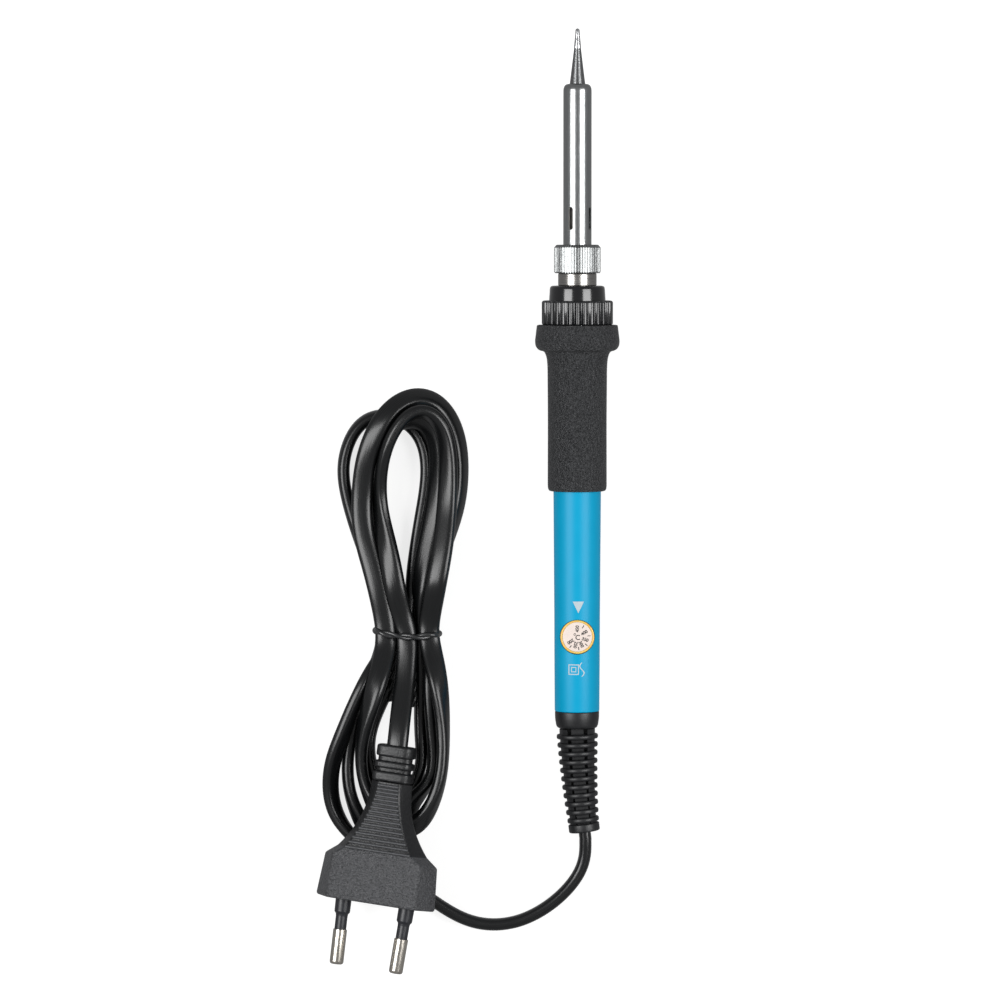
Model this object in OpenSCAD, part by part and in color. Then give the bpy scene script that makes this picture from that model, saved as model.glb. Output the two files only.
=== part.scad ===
// Mains soldering iron with a temperature dial in its handle, and its flat two-core lead in a tied hank.
// Each piece of the iron is drawn along +Z: z = 0 is the rear end of the handle, the tip points to +Z and
// the dial looks to -Y. placed() lays the iron down, dial up, on the bulge of its grip and the rear edge of
// its handle. The lead, the tie and the plug are drawn where they lie.

/* [Handle] */
// Length of the handle that shows behind the grip
handle_len = 63.2; // [55:0.1:75]
// Diameter of the handle at its rear end
handle_rear_d = 12.8; // [12.4:0.1:13.2]
// Diameter of the handle where it enters the grip
handle_front_d = 13.6; // [13.2:0.1:14]
// Bore of the handle
handle_bore = 10; // [9.6:0.1:10.2]

/* [Grip] */
// Length of the rubber grip
grip_len = 47.5; // [44:0.1:52]
// Diameter of the grip behind its bulge
grip_d = 16.9; // [16.4:0.1:18]
// Diameter of the bulge that keeps the fingers off the hot end
bulge_d = 24.2; // [22:0.1:26]

/* [Lock ring] */
// Outer diameter of the lock ring over its ribs
ring_d = 20.4; // [20.2:0.1:21.4]
// Length of the lock ring
ring_len = 6.9; // [6.8:0.1:8]
// Number of ribs round the lock ring
ring_ribs = 30; // [24:1:40]

/* [Hot end] */
// Diameter of the steel sleeve
sleeve_d = 8.1; // [8:0.05:8.4]
// Length of the sleeve, with its rear flange
sleeve_len = 48.4; // [46:0.1:52]
// Length of the tip that stands out of the sleeve
tip_out = 15.8; // [12:0.1:20]
// Diameter of the tip where it leaves the sleeve
tip_d = 4.55; // [3:0.05:4.6]
// Outer diameter of the clamping nut
nut_d = 13.3; // [12.6:0.1:14]
// Length of the clamping nut
nut_len = 8.1; // [8:0.1:9]
// Diameter of the ceramic heater
heater_d = 3.8; // [3.4:0.05:3.9]

/* [Dial] */
// Distance of the dial's centre from the rear end of the handle
dial_z = 21.7; // [18:0.1:26]
// Diameter of the hole in the handle for the dial
dial_hole_d = 10; // [9.6:0.1:10]
// Diameter of the dial knob
dial_d = 9.7; // [9:0.1:9.7]

/* [Strain relief] */
// Length of the strain relief behind the handle
boot_len = 34.7; // [30:0.1:40]
// Number of thin ribs on the strain relief
boot_ribs = 11; // [8:1:13]
// How far the strain relief bends aside at its end
boot_bend = 2.2; // [0:0.1:3]

/* [Lead and plug] */
// Width of the flat lead
lead_w = 6; // [5.5:0.1:6.2]
// Thickness of the flat lead
lead_t = 3.5; // [3:0.1:3.6]
// Width of the plug body
plug_w = 35.3; // [35.1:0.1:35.5]
// Thickness of the plug body
plug_t = 13.7; // [13.5:0.1:13.9]
// Distance between the two pins at the plug's face
pin_pitch = 18.6; // [18.4:0.1:18.8]

/* [Hidden] */
$fn = 64;

eps = 0.02;               // clearance between pieces that are glued or pressed together
run = 0.05;               // radial clearance of a turning or sliding fit
cut = 1;                  // overlength of a cutting tool

// stations along the iron, from the rear end of the handle
grip_z = handle_len;
grip_top = grip_z + grip_len;
bulge_z = grip_top - 4.5;
bulge_r = bulge_d / 2;
ring_z = grip_top + 0.1;
ring_top = ring_z + ring_len;
thread_r = 9;             // handle's front thread, inside the lock ring
thread_top = grip_top + 4;
flange_top = thread_top + 1.5;
neck_top = grip_top + 11.2;
nipple_shoulder_top = neck_top + 3.5;
nipple_top = neck_top + 9.1;
nut_z = nipple_shoulder_top + 0.1;
nut_top = nut_z + nut_len;
sleeve_z = nipple_top + eps;
sleeve_top = sleeve_z + sleeve_len;
sleeve_r = sleeve_d / 2;
sleeve_bore_r = 3.45;
tip_top = sleeve_top + tip_out;
tip_len = 44;
tip_shoulder_r = 3.25;
heater_top = sleeve_top - 4.9;
heater_z = neck_top - 3;
nut_thread_r = 5.1;       // thread of the nipple, inside the nut
nipple_bore_r = 3.5;
shank_r = 4.6;            // rear of the nipple, inside the collar
neck_r = 8.05;            // collar where it leaves the lock ring

// how the iron lies
rest_r = handle_rear_d / 2;
lean = atan((bulge_r - rest_r) / bulge_z);
lift = rest_r * cos(lean);
iron_shift = -79.8;       // puts the middle of the iron's length at Y = 0

// strain relief: distances along it run from the handle to the rear
boot_collar_len = 4.85;
boot_end_len = 2.4;
boot_rib_t = 1.35;
boot_pitch = (boot_len - boot_collar_len - boot_end_len + boot_rib_t) / (boot_ribs + 1);
boot_gap = boot_pitch - boot_rib_t;
jacket_in = 7;            // how far the lead's jacket reaches into the handle
function boot_x(d) = boot_bend * (max(d, 0) / boot_len) ^ 2;
function boot_tilt(d) = atan(2 * boot_bend * max(d, 0) / boot_len ^ 2);
function boot_rib_r(k) = 5.95 - 1.4 * k;      // k runs from 0 at the collar to 1 at the end
function boot_core_r(k) = 5 - 1.2 * k;

// circuit board, inside the handle: heights are above the iron's axis, towards the dial
board_w = 8.8;
board_z = 8;
board_len = 50;
board_t = 1;
board_top = -0.5;
wire_r = 0.4;

// Points of a circular arc
function arc(c, r, a0, a1, n = 8) = [for (i = [0:n]) let (a = a0 + (a1 - a0) * i / n) c + r * [cos(a), sin(a)]];

// A toothed round outline: each tooth has the given heights, one after the other
function toothed(r, teeth, profile) = [for (i = [0:teeth - 1], j = [0:len(profile) - 1])
    let (a = 360 * (i + j / len(profile)) / teeth) (r - profile[j]) * [cos(a), sin(a)]];

// Free stretch of the lead, from the strain relief to the hank, passing under the plug
cord_route = [[2.2, -114.4, 4.5], [2.6, -119, 3.8], [2, -124, 3.2], [-0.8, -129, 3], [-5.3, -133.8, 3],
    [-10.9, -137.8, 3], [-17, -140.5, 3], [-23.7, -141.5, 3], [-30.2, -140.6, 3], [-35.6, -138.2, 3],
    [-40.6, -135, 3], [-45.6, -131.4, 3], [-51, -127.4, 3], [-56.4, -123.6, 3], [-61, -120, 3],
    [-64.6, -116, 3]];
// Stretch of the lead from the tie to the plug
plug_route = [[-48.9, -66.2, 8.9], [-49.4, -71.5, 9.8], [-50, -76.5, 11.8], [-50.5, -81, 13.9],
    [-50.9, -85, 15.5], [-51.2, -88.4, 16]];

// Waist of the hank, under the tie
waist = [-48.7, -57.6];
waist_w = 17.4;
waist_h = 10.6;
hank_h = 10.6;
hank_low_h = 6.2;
tie_t = 0.7;

// plug: its middle at the pin face, how it is turned and how high it lies
plug_pos = [-57.7, -134.2, 16];
plug_yaw = -8.1;
plug_roll = -12;
plug_body_len = 16;
plug_wedge_len = 19;
plug_collar_len = 11.2;
pin_len = 19;
pin_r = 2;
pin_core_r = 1.4;
pin_metal = 9;
pin_lean = asin(0.55 / 19);

// Lays the iron down
module placed() {
    translate([0, iron_shift, lift]) rotate([lean - 90, 0, 0]) children();
}

// Moves a piece to a height above the axis, towards the dial
module at_height(h, z = 0, x = 0) {
    translate([x, -h, z]) children();
}

// Puts the plug where it lies; inside, +Y runs from the pins to the lead and +Z is its upper face
module plug_placed() {
    translate(plug_pos) rotate([0, 0, plug_yaw]) rotate([0, plug_roll, 0]) children();
}

// Closed tube swept along a route, half_w wide sideways and half_h high, with upright end faces
module swept(route, half_w, half_h, sides = 8) {
    n = len(route);
    function heading(i) = let (d = route[min(i + 1, n - 1)] - route[max(i - 1, 0)]) [d.x, d.y, 0] / norm([d.x, d.y]);
    rings = [for (i = [0:n - 1]) let (h = heading(i)) for (s = [0:sides - 1])
        let (a = 360 * (s + 0.5) / sides)
        route[i] + half_w * cos(a) / cos(180 / sides) * [h.y, -h.x, 0] + half_h * sin(a) / cos(180 / sides) * [0, 0, 1]];
    skin = [for (i = [0:n - 2], s = [0:sides - 1])
        let (a = i * sides + s, b = i * sides + (s + 1) % sides)
        for (f = [[a, a + sides, b], [b, a + sides, b + sides]]) f];
    ends = [[for (s = [0:sides - 1]) s], [for (s = [sides - 1:-1:0]) (n - 1) * sides + s]];
    polyhedron(rings, concat(skin, ends));
}

// Blue handle: a long tube that swells to a threaded end under the lock ring, with two rails for the board
module handle() {
    bore_r = handle_bore / 2;
    color("deepskyblue") placed() difference() {
        union() {
            rotate_extrude() polygon([[bore_r, 0], [rest_r - 0.3, 0], [rest_r, 0.3], [handle_front_d / 2, grip_z],
                [handle_front_d / 2, bulge_z - 2.5], [thread_r, bulge_z + 1], [thread_r, thread_top],
                [bore_r, thread_top]]);
            for (side = [-1, 1]) intersection() {
                translate([0, 0, board_z]) cylinder(r = bore_r + 0.3, h = board_len);
                at_height(board_top - board_t - eps, board_z, side * 4.6 - 1) cube([2, 1.4, board_len]);
            }
        }
        at_height(2, dial_z) rotate([90, 0, 0]) cylinder(d = dial_hole_d, h = 8);
    }
}

// Rubber grip, pushed over the handle, with the bulge that guards the fingers
module grip() {
    hole_r = handle_front_d / 2 + eps;
    body_r = grip_d / 2;
    band_r = bulge_r - 0.55;
    curl_r = 3.2;
    end_r = 1.4;
    curl = [bulge_r - curl_r, bulge_z];
    turn = 62;
    fillet_r = (bulge_r - curl_r + curl_r * cos(turn) - body_r - 0.2) / (1 - cos(turn));
    fillet = curl + (curl_r + fillet_r) * [cos(turn), -sin(turn)];
    color("#26282a") placed() rotate_extrude() polygon(concat(
        [[hole_r, grip_z]],
        arc([body_r - end_r, grip_z + end_r], end_r, -90, 0),
        [[body_r - 0.1, grip_z + grip_len * 0.45]],
        arc(fillet, fillet_r, 180, 180 - turn),
        arc(curl, curl_r, 5 - turn, acos((band_r - curl.x) / curl_r), 14),
        arc([band_r - 0.5, grip_top - 0.5], 0.5, 0, 90, 4),
        [[thread_r + eps, grip_top], [thread_r + eps, bulge_z + 1 - eps], [hole_r, bulge_z - 2.5 - eps]]));
}

// Ribbed ring that screws onto the handle and clamps the collar's flange
module lock_ring() {
    shoulder = 1.2;
    color("#1c1d1f") placed() difference() {
        intersection() {
            translate([0, 0, ring_z]) linear_extrude(ring_len)
                polygon(toothed(ring_d / 2, ring_ribs, [0.5, 0.1, 0, 0.1, 0.5, 0.6]));
            rotate_extrude() polygon(concat([[0, ring_z], [ring_d / 2 - 0.3, ring_z], [ring_d / 2 + eps, ring_z + 0.3]],
                arc([ring_d / 2 + eps - shoulder, ring_top - shoulder], shoulder, 0, 90), [[0, ring_top]]));
        }
        translate([0, 0, ring_z - cut]) cylinder(r = thread_r + run, h = flange_top + 0.1 - ring_z + cut);
        translate([0, 0, ring_z]) cylinder(r = neck_r + 0.1, h = ring_len + cut);
    }
}

// Black collar with the flange that the lock ring clamps; it carries the whole hot end
module heater_collar() {
    front_r = 7.8;
    fillet_r = 0.9;
    color("#141416") placed() rotate_extrude() polygon(concat(
        [[shank_r + eps, thread_top + eps], [thread_r - run, thread_top + eps], [thread_r - run, flange_top],
            [neck_r, flange_top]],
        arc([front_r - fillet_r, neck_top - fillet_r], fillet_r, 0, 90, 5),
        [[shank_r + eps, neck_top]]));
}

// Threaded steel nipple, pressed into the collar; the sleeve's flange sits on its front face
module nipple() {
    shoulder_r = 5.5;
    color("silver") placed() rotate_extrude() polygon([[nipple_bore_r, thread_top + 0.3], [shank_r, thread_top + 0.3],
        [shank_r, neck_top + eps], [shoulder_r - 0.3, neck_top + eps], [shoulder_r, neck_top + 0.3],
        [shoulder_r, nipple_shoulder_top - 0.4], [nut_thread_r, nipple_shoulder_top],
        [nut_thread_r, nipple_top - 0.4], [nut_thread_r - 0.4, nipple_top], [nipple_bore_r, nipple_top]]);
}

// White ceramic bush that centres the heater in the nipple
module heater_bush() {
    color("ivory") placed() translate([0, 0, heater_z - 1]) difference() {
        cylinder(r = nipple_bore_r - eps, h = nipple_top - heater_z - 0.5);
        translate([0, 0, -cut]) cylinder(d = heater_d + 2 * eps, h = 40);
    }
}

// Ceramic heater inside the tip
module heater_rod() {
    color("white") placed() rotate_extrude() polygon([[0, heater_z], [heater_d / 2, heater_z],
        [heater_d / 2, heater_top - 0.5], [heater_d / 2 - 0.5, heater_top], [0, heater_top]]);
}

// Plated conical tip, hollow where it sits over the heater
module tip() {
    apex_r = 0.45;
    shoulder_z = sleeve_top - 1.8;
    color("#b9bcc0") placed() difference() {
        rotate_extrude() polygon(concat(
            [[0, tip_top - tip_len], [tip_shoulder_r - 0.3, tip_top - tip_len],
                [tip_shoulder_r, tip_top - tip_len + 0.3], [tip_shoulder_r, shoulder_z - 0.3],
                [tip_shoulder_r - 0.3, shoulder_z], [tip_d / 2, shoulder_z], [tip_d / 2, sleeve_top + 0.3]],
            arc([0, tip_top - apex_r], apex_r, 8, 90, 6)));
        translate([0, 0, tip_top - tip_len - cut])
            cylinder(d = heater_d + 0.3, h = heater_top + 0.4 - (tip_top - tip_len) + cut);
    }
}

// Steel sleeve that holds the tip: a rear flange, four air slots and a rounded front lip
module tip_sleeve() {
    slot_z = sleeve_z + 10.1;
    slot_len = 6.5;
    slot_w = 1.4;
    lip_r = 1.2;
    color("#c9cbcc") placed() difference() {
        rotate_extrude() polygon(concat(
            [[sleeve_bore_r, sleeve_z], [4.9, sleeve_z], [4.9, sleeve_z + 0.8], [sleeve_r - 0.3, sleeve_z + 0.8],
                [sleeve_r - 0.3, nut_top], [sleeve_r, nut_top + 0.3]],
            arc([sleeve_r - lip_r, sleeve_top - lip_r], lip_r, 0, 90),
            [[tip_d / 2 + 0.15, sleeve_top], [tip_d / 2 + 0.15, sleeve_top - 1.5], [sleeve_bore_r, sleeve_top - 1.5]]));
        for (quarter = [0:3]) rotate([0, 0, quarter * 90 - 28.6 - 90]) translate([0, 0, slot_z]) {
            translate([2, -slot_w / 2, (slot_w - slot_len) / 2]) cube([5, slot_w, slot_len - slot_w]);
            for (end = [-1, 1]) translate([2, 0, end * (slot_len - slot_w) / 2])
                rotate([0, 90, 0]) cylinder(d = slot_w, h = 5, $fn = 24);
        }
    }
}

// Knurled nut with three wrench flats; it clamps the sleeve's flange onto the nipple
module sleeve_nut() {
    flats = 3;
    flat_turn = -115;
    nut_r = nut_d / 2;
    color("gainsboro") placed() difference() {
        intersection() {
            translate([0, 0, nut_z]) rotate([0, 0, flat_turn]) linear_extrude(nut_len) polygon(toothed(nut_r, 51, [0, 0.25]));
            rotate_extrude() polygon([[0, nut_z], [nut_r - 0.9, nut_z], [nut_r + 0.1, nut_z + 1],
                [nut_r + 0.1, nut_top - 1.2], [nut_r - 1.1, nut_top], [0, nut_top]]);
        }
        for (i = [0:flats - 1]) rotate([0, 0, i * 360 / flats + flat_turn]) translate([nut_r - 0.55, -5, nut_z - cut])
            cube([5, 10, nut_len + 2 * cut]);
        translate([0, 0, nut_z - cut]) cylinder(r = nut_thread_r + run, h = sleeve_z + 0.9 - nut_z + cut);
        translate([0, 0, nut_z]) cylinder(r = sleeve_r + 0.45, h = nut_len + cut);
    }
}

// Circuit board on the handle's rails
module circuit_board() {
    color("darkgreen") placed() at_height(board_top, board_z) translate([-board_w / 2, 0, 0])
        cube([board_w, board_t, board_len]);
}

// Potentiometer: a square body on the board and a round shaft into the knob
module potentiometer() {
    body = [6.8, 2.2, 7.4];
    color("royalblue") placed() at_height(board_top + eps, dial_z) {
        translate([-body.x / 2, -body.y, -body.z / 2]) cube(body);
        rotate([90, 0, 0]) cylinder(d = 3, h = 4.6);
    }
}

// Amber knob with a recess for its face
module dial_knob() {
    color("orange") placed() at_height(2.15, dial_z) rotate([90, 0, 0]) difference() {
        rotate_extrude() polygon([[0, 0], [dial_d / 2 - 0.3, 0], [dial_d / 2, 0.3], [dial_d / 2, 3.5],
            [dial_d / 2 - 0.25, 3.75], [0, 3.75]]);
        translate([0, 0, -cut]) cylinder(d = 3.1, h = 2.3 + cut);
        translate([0, 0, 3.25]) cylinder(d = 8.6, h = 1);
    }
}

// White face of the dial
module dial_face() {
    color("white") placed() at_height(2.15 + 3.25 + eps, dial_z) rotate([90, 0, 0]) cylinder(d = 8.55, h = 0.4);
}

// Small lamp that glows while the heater is on
module indicator_led() {
    color("orangered") placed() at_height(board_top + eps, dial_z + 7) rotate([90, 0, 0]) {
        cylinder(d = 3.8, h = 0.9);
        cylinder(d = 3, h = 2.6);
        translate([0, 0, 2.6]) intersection() {
            sphere(d = 3);
            translate([-2, -2, 0]) cube(4);
        }
    }
}

// Triac that switches the heater
module triac() {
    color("#2b2b2e") placed() at_height(board_top + eps, 34) difference() {
        translate([-2.3, -3.6, 0]) cube([4.6, 3.6, 4.8]);
        translate([1.6, -4.6, -cut]) rotate([0, 0, 45]) cube([3, 3, 8]);
    }
}

// Trigger diode
module diac() {
    color("#7a4fc0") placed() at_height(board_top + 1 + eps, 41) translate([1.8, 0, 0]) cylinder(d = 2, h = 4.4, $fn = 32);
}

// Film capacitor
module capacitor() {
    color("#d8b13a") placed() at_height(board_top + eps, 46.5) translate([-3, -4, 0]) cube([6, 4, 7]);
}

// Resistors, lying side by side
module resistors() {
    color("tan") placed() for (spot = [[-2.2, 40.5], [-2.4, 11], [1.8, 11]])
        at_height(board_top + 1.1 + eps, spot[1], spot[0]) rotate_extrude($fn = 32) polygon([[0, 0], [0.9, 0], [1.1, 0.5],
            [1.1, 1.2], [0.9, 1.7], [0.9, 3.6], [1.1, 4.1], [1.1, 4.8], [0.9, 5.3], [0, 5.3]]);
}

// Bare leads of the heater, down to the board
module heater_leads() {
    color("silver") placed() for (side = [-1, 1]) at_height(board_top + wire_r + eps, board_z + board_len - 3, side * 1.3)
        cylinder(r = wire_r, h = heater_z - 0.2 - (board_z + board_len - 3), $fn = 24);
}

// Glass-fibre sleeving over the heater's leads
module lead_sleeving() {
    color("beige") placed() for (side = [-1, 1]) at_height(board_top + wire_r + eps, 62, side * 1.3) difference() {
        cylinder(r = 0.95, h = 46, $fn = 32);
        translate([0, 0, -cut]) cylinder(r = wire_r + eps, h = 50, $fn = 24);
    }
}

// Solder joints under the board, one under each wire
module solder_joints() {
    color("lightgray") placed() for (z = [board_z + 1.6, board_z + board_len - 1.6], side = [-1, 1])
        at_height(board_top - board_t - eps, z, side * 1.4) rotate([-90, 0, 0])
        cylinder(r1 = 0.9, r2 = 0.3, h = 0.8, $fn = 32);
}

// Two insulated mains wires, from the end of the lead's jacket to the board
module mains_wires() {
    colours = ["saddlebrown", "dodgerblue"];
    placed() for (i = [0, 1]) color(colours[i]) at_height(board_top + 0.75 + eps, jacket_in + 0.05, (i * 2 - 1) * 0.95)
        cylinder(r = 0.75, h = 3.8, $fn = 32);
}

// Clamp on the end of the lead's jacket, which takes the pull
module cord_clamp() {
    color("#303236") placed() translate([0, 0, 5.2]) difference() {
        intersection() {
            cylinder(r = 4.6, h = 1.2);
            translate([-2.6, -4, 0]) cube([5.2, 8, 1.2]);
        }
        translate([-lead_t / 2 - eps, -lead_w / 2 - eps, -cut]) cube([lead_t + 2 * eps, lead_w + 2 * eps, 4]);
    }
}

// Puts a piece on the strain relief's bent axis, square to it
module on_boot(d) {
    translate([boot_x(d), 0, -d]) rotate([0, -boot_tilt(d), 0]) children();
}

// Flat strip along the strain relief's axis, from z = front to the distance rear
module bent_strip(half_t, half_w, front, rear) {
    steps = 10;
    side = [for (i = [0:steps]) let (d = rear * i / steps) [boot_x(d), -d]];
    rotate([90, 0, 0]) linear_extrude(2 * half_w, center = true) polygon(concat([[half_t, front]],
        [for (p = side) p + [half_t, 0]], [for (i = [steps:-1:0]) side[i] - [half_t, 0]], [[-half_t, front]]));
}

// Bent, ribbed strain relief with open windows on its upper and lower sides
module strain_relief() {
    window_w = 4.2;
    end_r = 4.45;
    corner = 0.6;
    color("#202124") placed() difference() {
        union() {
            translate([0, 0, -boot_collar_len]) rotate_extrude() polygon(concat([[0, 0]],
                arc([6.25 - corner, corner], corner, -90, 0, 4),
                [[6.25, boot_collar_len - eps], [0, boot_collar_len - eps]]));
            translate([0, 0, -0.5]) cylinder(r = handle_bore / 2 - eps, h = 5.5);
            for (i = [0:boot_ribs - 1]) let (k = i / (boot_ribs - 1))
                on_boot(boot_collar_len + boot_pitch * (i + 1)) rotate_extrude() polygon(concat([[0, 0]],
                    arc([boot_rib_r(k) - boot_rib_t / 2, boot_rib_t / 2], boot_rib_t / 2, -90, 90, 6), [[0, boot_rib_t]]));
            for (i = [0:boot_ribs]) on_boot(boot_collar_len + boot_pitch * i + boot_gap + 0.2)
                cylinder(r = boot_core_r(i / boot_ribs), h = boot_gap + 0.4);
            on_boot(boot_len) rotate_extrude() polygon(concat([[0, 0]], arc([end_r - corner, corner], corner, -90, 0, 4),
                arc([end_r - corner, boot_end_len - corner], corner, 0, 90, 4), [[0, boot_end_len]]));
        }
        for (i = [0:boot_ribs]) on_boot(boot_collar_len + boot_pitch * i + boot_gap)
            translate([-window_w / 2, -8, 0]) cube([window_w, 16, boot_gap]);
        bent_strip(lead_t / 2 + 0.2, lead_w / 2 + 0.2, jacket_in + cut, boot_len + cut);
    }
}

// The lead inside the strain relief, up to the end of its jacket in the handle
module cord_in_relief() {
    color("#17181a") placed() bent_strip(lead_t / 2, lead_w / 2, jacket_in, boot_len - 0.6);
}

// Free stretch of the lead, standing on its narrow edge
module cord() {
    color("#17181a") swept(cord_route, lead_t / 2, lead_w / 2);
}

// The rest of the lead between the tie and the plug, lying flat
module plug_lead() {
    color("#17181a") swept(plug_route, lead_w / 2, lead_t / 2);
}

// Outer shape of the tied hank: an upper and a lower lobe that narrow to the waist
module cord_hank() {
    color("#1b1c1e") difference() {
        union() {
            linear_extrude(hank_h) hull() {
                translate([waist.x, waist.y]) circle(d = waist_w - 0.6, $fn = 32);
                for (p = [[-46.5, -3, 15], [-57.5, -5.5, 9.5], [-61, -13, 7.5], [-39, -14, 7.5]])
                    translate([p.x, p.y]) circle(r = p.z, $fn = 32);
            }
            linear_extrude(hank_low_h) hull() {
                translate([waist.x, waist.y]) circle(d = waist_w - 0.6, $fn = 32);
                for (p = [[-60, -104.5, 12.5], [-68, -99, 5], [-52, -106, 10.5], [-42, -93, 5]])
                    translate([p.x, p.y]) circle(r = p.z, $fn = 32);
            }
            translate([waist.x - waist_w / 2 + 1, waist.y - 4.6, 0]) cube([waist_w - 2, 5, hank_h]);
        }
        tie_cut();
    }
}

// What the tie takes out of the hank
module tie_cut() {
    translate([waist.x, waist.y, 0]) rotate([90, 0, 0]) translate([0, 0, -1.1 - eps]) linear_extrude(2.2 + 2 * eps) difference() {
        translate([-20, -5]) square([40, 30]);
        translate([-waist_w / 2 + 1, tie_t + eps + 1]) offset(1, $fn = 24) square([waist_w - 2, waist_h - 2 - tie_t - eps]);
    }
}

// Twist tie round the waist of the hank, with two twisted tails
module twist_tie() {
    color("#0f0f10") {
        translate([waist.x, waist.y, 0]) rotate([90, 0, 0]) translate([0, 0, -1.1]) linear_extrude(2.2) difference() {
            translate([-waist_w / 2 + 1 - eps, tie_t + 1]) offset(1 + tie_t, $fn = 24) square([waist_w - 2 + 2 * eps, waist_h - 2 - tie_t]);
            translate([-waist_w / 2 + 1 - eps, tie_t + 1]) offset(1 + eps, $fn = 24) square([waist_w - 2 + 2 * eps, waist_h - 2 - tie_t]);
        }
        for (tail = [[-4.6, -1, -76], [0.4, -1, -80]]) translate([waist.x + tail.x, waist.y + tail.y, waist_h + tie_t + 0.2])
            rotate([90, 0, (tail.z + 78) * 2]) cylinder(d = 1.4, h = 3.6, $fn = 16);
    }
}

// Moulded plug: a six-sided body, a tapered neck and a ringed collar round the lead
module plug_body() {
    half_w = plug_w / 2;
    flat_w = half_w - 4.6;
    half_t = plug_t / 2;
    collar_w = 10.6;
    collar_t = 8;
    color("#232426") plug_placed() difference() {
        union() {
            rotate([-90, 0, 0]) linear_extrude(plug_body_len + 0.01)
                polygon([[-half_w, 0], [-flat_w, -half_t], [flat_w, -half_t], [half_w, 0], [flat_w, half_t], [-flat_w, half_t]]);
            hull() {
                translate([0, plug_body_len, 0]) rotate([-90, 0, 0]) linear_extrude(0.5)
                    polygon([[-half_w + 1.5, 0], [-flat_w, -half_t + 0.5], [flat_w, -half_t + 0.5], [half_w - 1.5, 0],
                        [flat_w, half_t - 0.5], [-flat_w, half_t - 0.5]]);
                translate([-collar_w / 2 + 2, plug_body_len + 8, -half_t + 1.9]) cube([collar_w - 4, 3, plug_t - 3.8]);
            }
            translate([-collar_w / 2, plug_body_len, -collar_t / 2]) cube([collar_w, plug_wedge_len, collar_t]);
            for (i = [0:2]) translate([-collar_w / 2 - 0.3, plug_body_len + plug_wedge_len - 0.01 + i * 3.9, -collar_t / 2 - 0.3])
                cube([collar_w + 0.6, 3.4, collar_t + 0.6]);
            translate([-collar_w / 2 + 0.5, plug_body_len + plug_wedge_len - 0.1, -collar_t / 2 + 0.5])
                cube([collar_w - 1, plug_collar_len - 0.1, collar_t - 1]);
        }
        for (side = [-1, 1]) translate([side * pin_pitch / 2, 0, 0]) rotate([-90, 0, side * -pin_lean])
            translate([0, 0, -cut]) cylinder(r = pin_core_r + eps, h = 12 + cut);
    }
}

// Two metal contact pins, a little closer together at their ends
module plug_pins() {
    color("gainsboro") plug_placed() for (side = [-1, 1]) translate([side * pin_pitch / 2, 0, 0])
        rotate([90, 0, side * -pin_lean]) rotate_extrude() polygon(concat(
            [[0, -11.5], [pin_core_r, -11.5], [pin_core_r, pin_len - pin_metal - 0.3],
                [pin_r, pin_len - pin_metal]],
            arc([pin_r - 0.9, pin_len - 0.9], 0.9, 0, 90), [[0, pin_len]]));
}

// Plastic sleeves on the root of each pin
module pin_insulation() {
    root_r = 2.3;
    sheath_r = 1.7;
    color("#232426") plug_placed() for (side = [-1, 1]) translate([side * pin_pitch / 2, 0, 0])
        rotate([90, 0, side * -pin_lean]) rotate_extrude() polygon([[pin_core_r + eps, 0.15], [root_r, 0.15], [root_r, 4.4],
            [sheath_r, 4.8], [sheath_r, pin_len - pin_metal - 0.4], [pin_core_r + eps, pin_len - pin_metal - 0.4]]);
}

handle();
grip();
lock_ring();
heater_collar();
nipple();
heater_bush();
heater_rod();
tip();
tip_sleeve();
sleeve_nut();
circuit_board();
potentiometer();
dial_knob();
dial_face();
indicator_led();
triac();
diac();
capacitor();
resistors();
heater_leads();
lead_sleeving();
solder_joints();
mains_wires();
cord_clamp();
strain_relief();
cord_in_relief();
cord();
cord_hank();
plug_lead();
twist_tie();
plug_body();
plug_pins();
pin_insulation();
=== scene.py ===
from functools import partial
from math import atan, atan2, ceil, cos, pi, radians, sin, sqrt, tau

import bmesh
import bpy
import numpy as np
from mathutils import Matrix, Vector


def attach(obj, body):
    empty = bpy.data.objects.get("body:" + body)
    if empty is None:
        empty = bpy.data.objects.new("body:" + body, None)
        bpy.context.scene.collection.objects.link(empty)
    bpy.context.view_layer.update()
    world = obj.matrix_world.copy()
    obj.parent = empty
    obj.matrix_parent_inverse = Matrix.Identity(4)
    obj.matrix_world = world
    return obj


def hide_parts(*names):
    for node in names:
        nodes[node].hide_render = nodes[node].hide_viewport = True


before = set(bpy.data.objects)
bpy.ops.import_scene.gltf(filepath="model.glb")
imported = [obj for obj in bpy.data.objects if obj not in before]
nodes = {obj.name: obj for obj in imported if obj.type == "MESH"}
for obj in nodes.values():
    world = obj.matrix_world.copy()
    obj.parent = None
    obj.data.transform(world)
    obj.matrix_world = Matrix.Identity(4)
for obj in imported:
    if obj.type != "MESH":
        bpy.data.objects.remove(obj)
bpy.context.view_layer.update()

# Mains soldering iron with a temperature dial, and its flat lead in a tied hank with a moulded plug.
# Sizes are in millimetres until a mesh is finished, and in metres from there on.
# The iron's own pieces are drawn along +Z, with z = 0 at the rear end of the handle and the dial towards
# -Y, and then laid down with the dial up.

scene = bpy.context.scene
MM = 0.001

# -------- sizes of the iron

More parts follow.
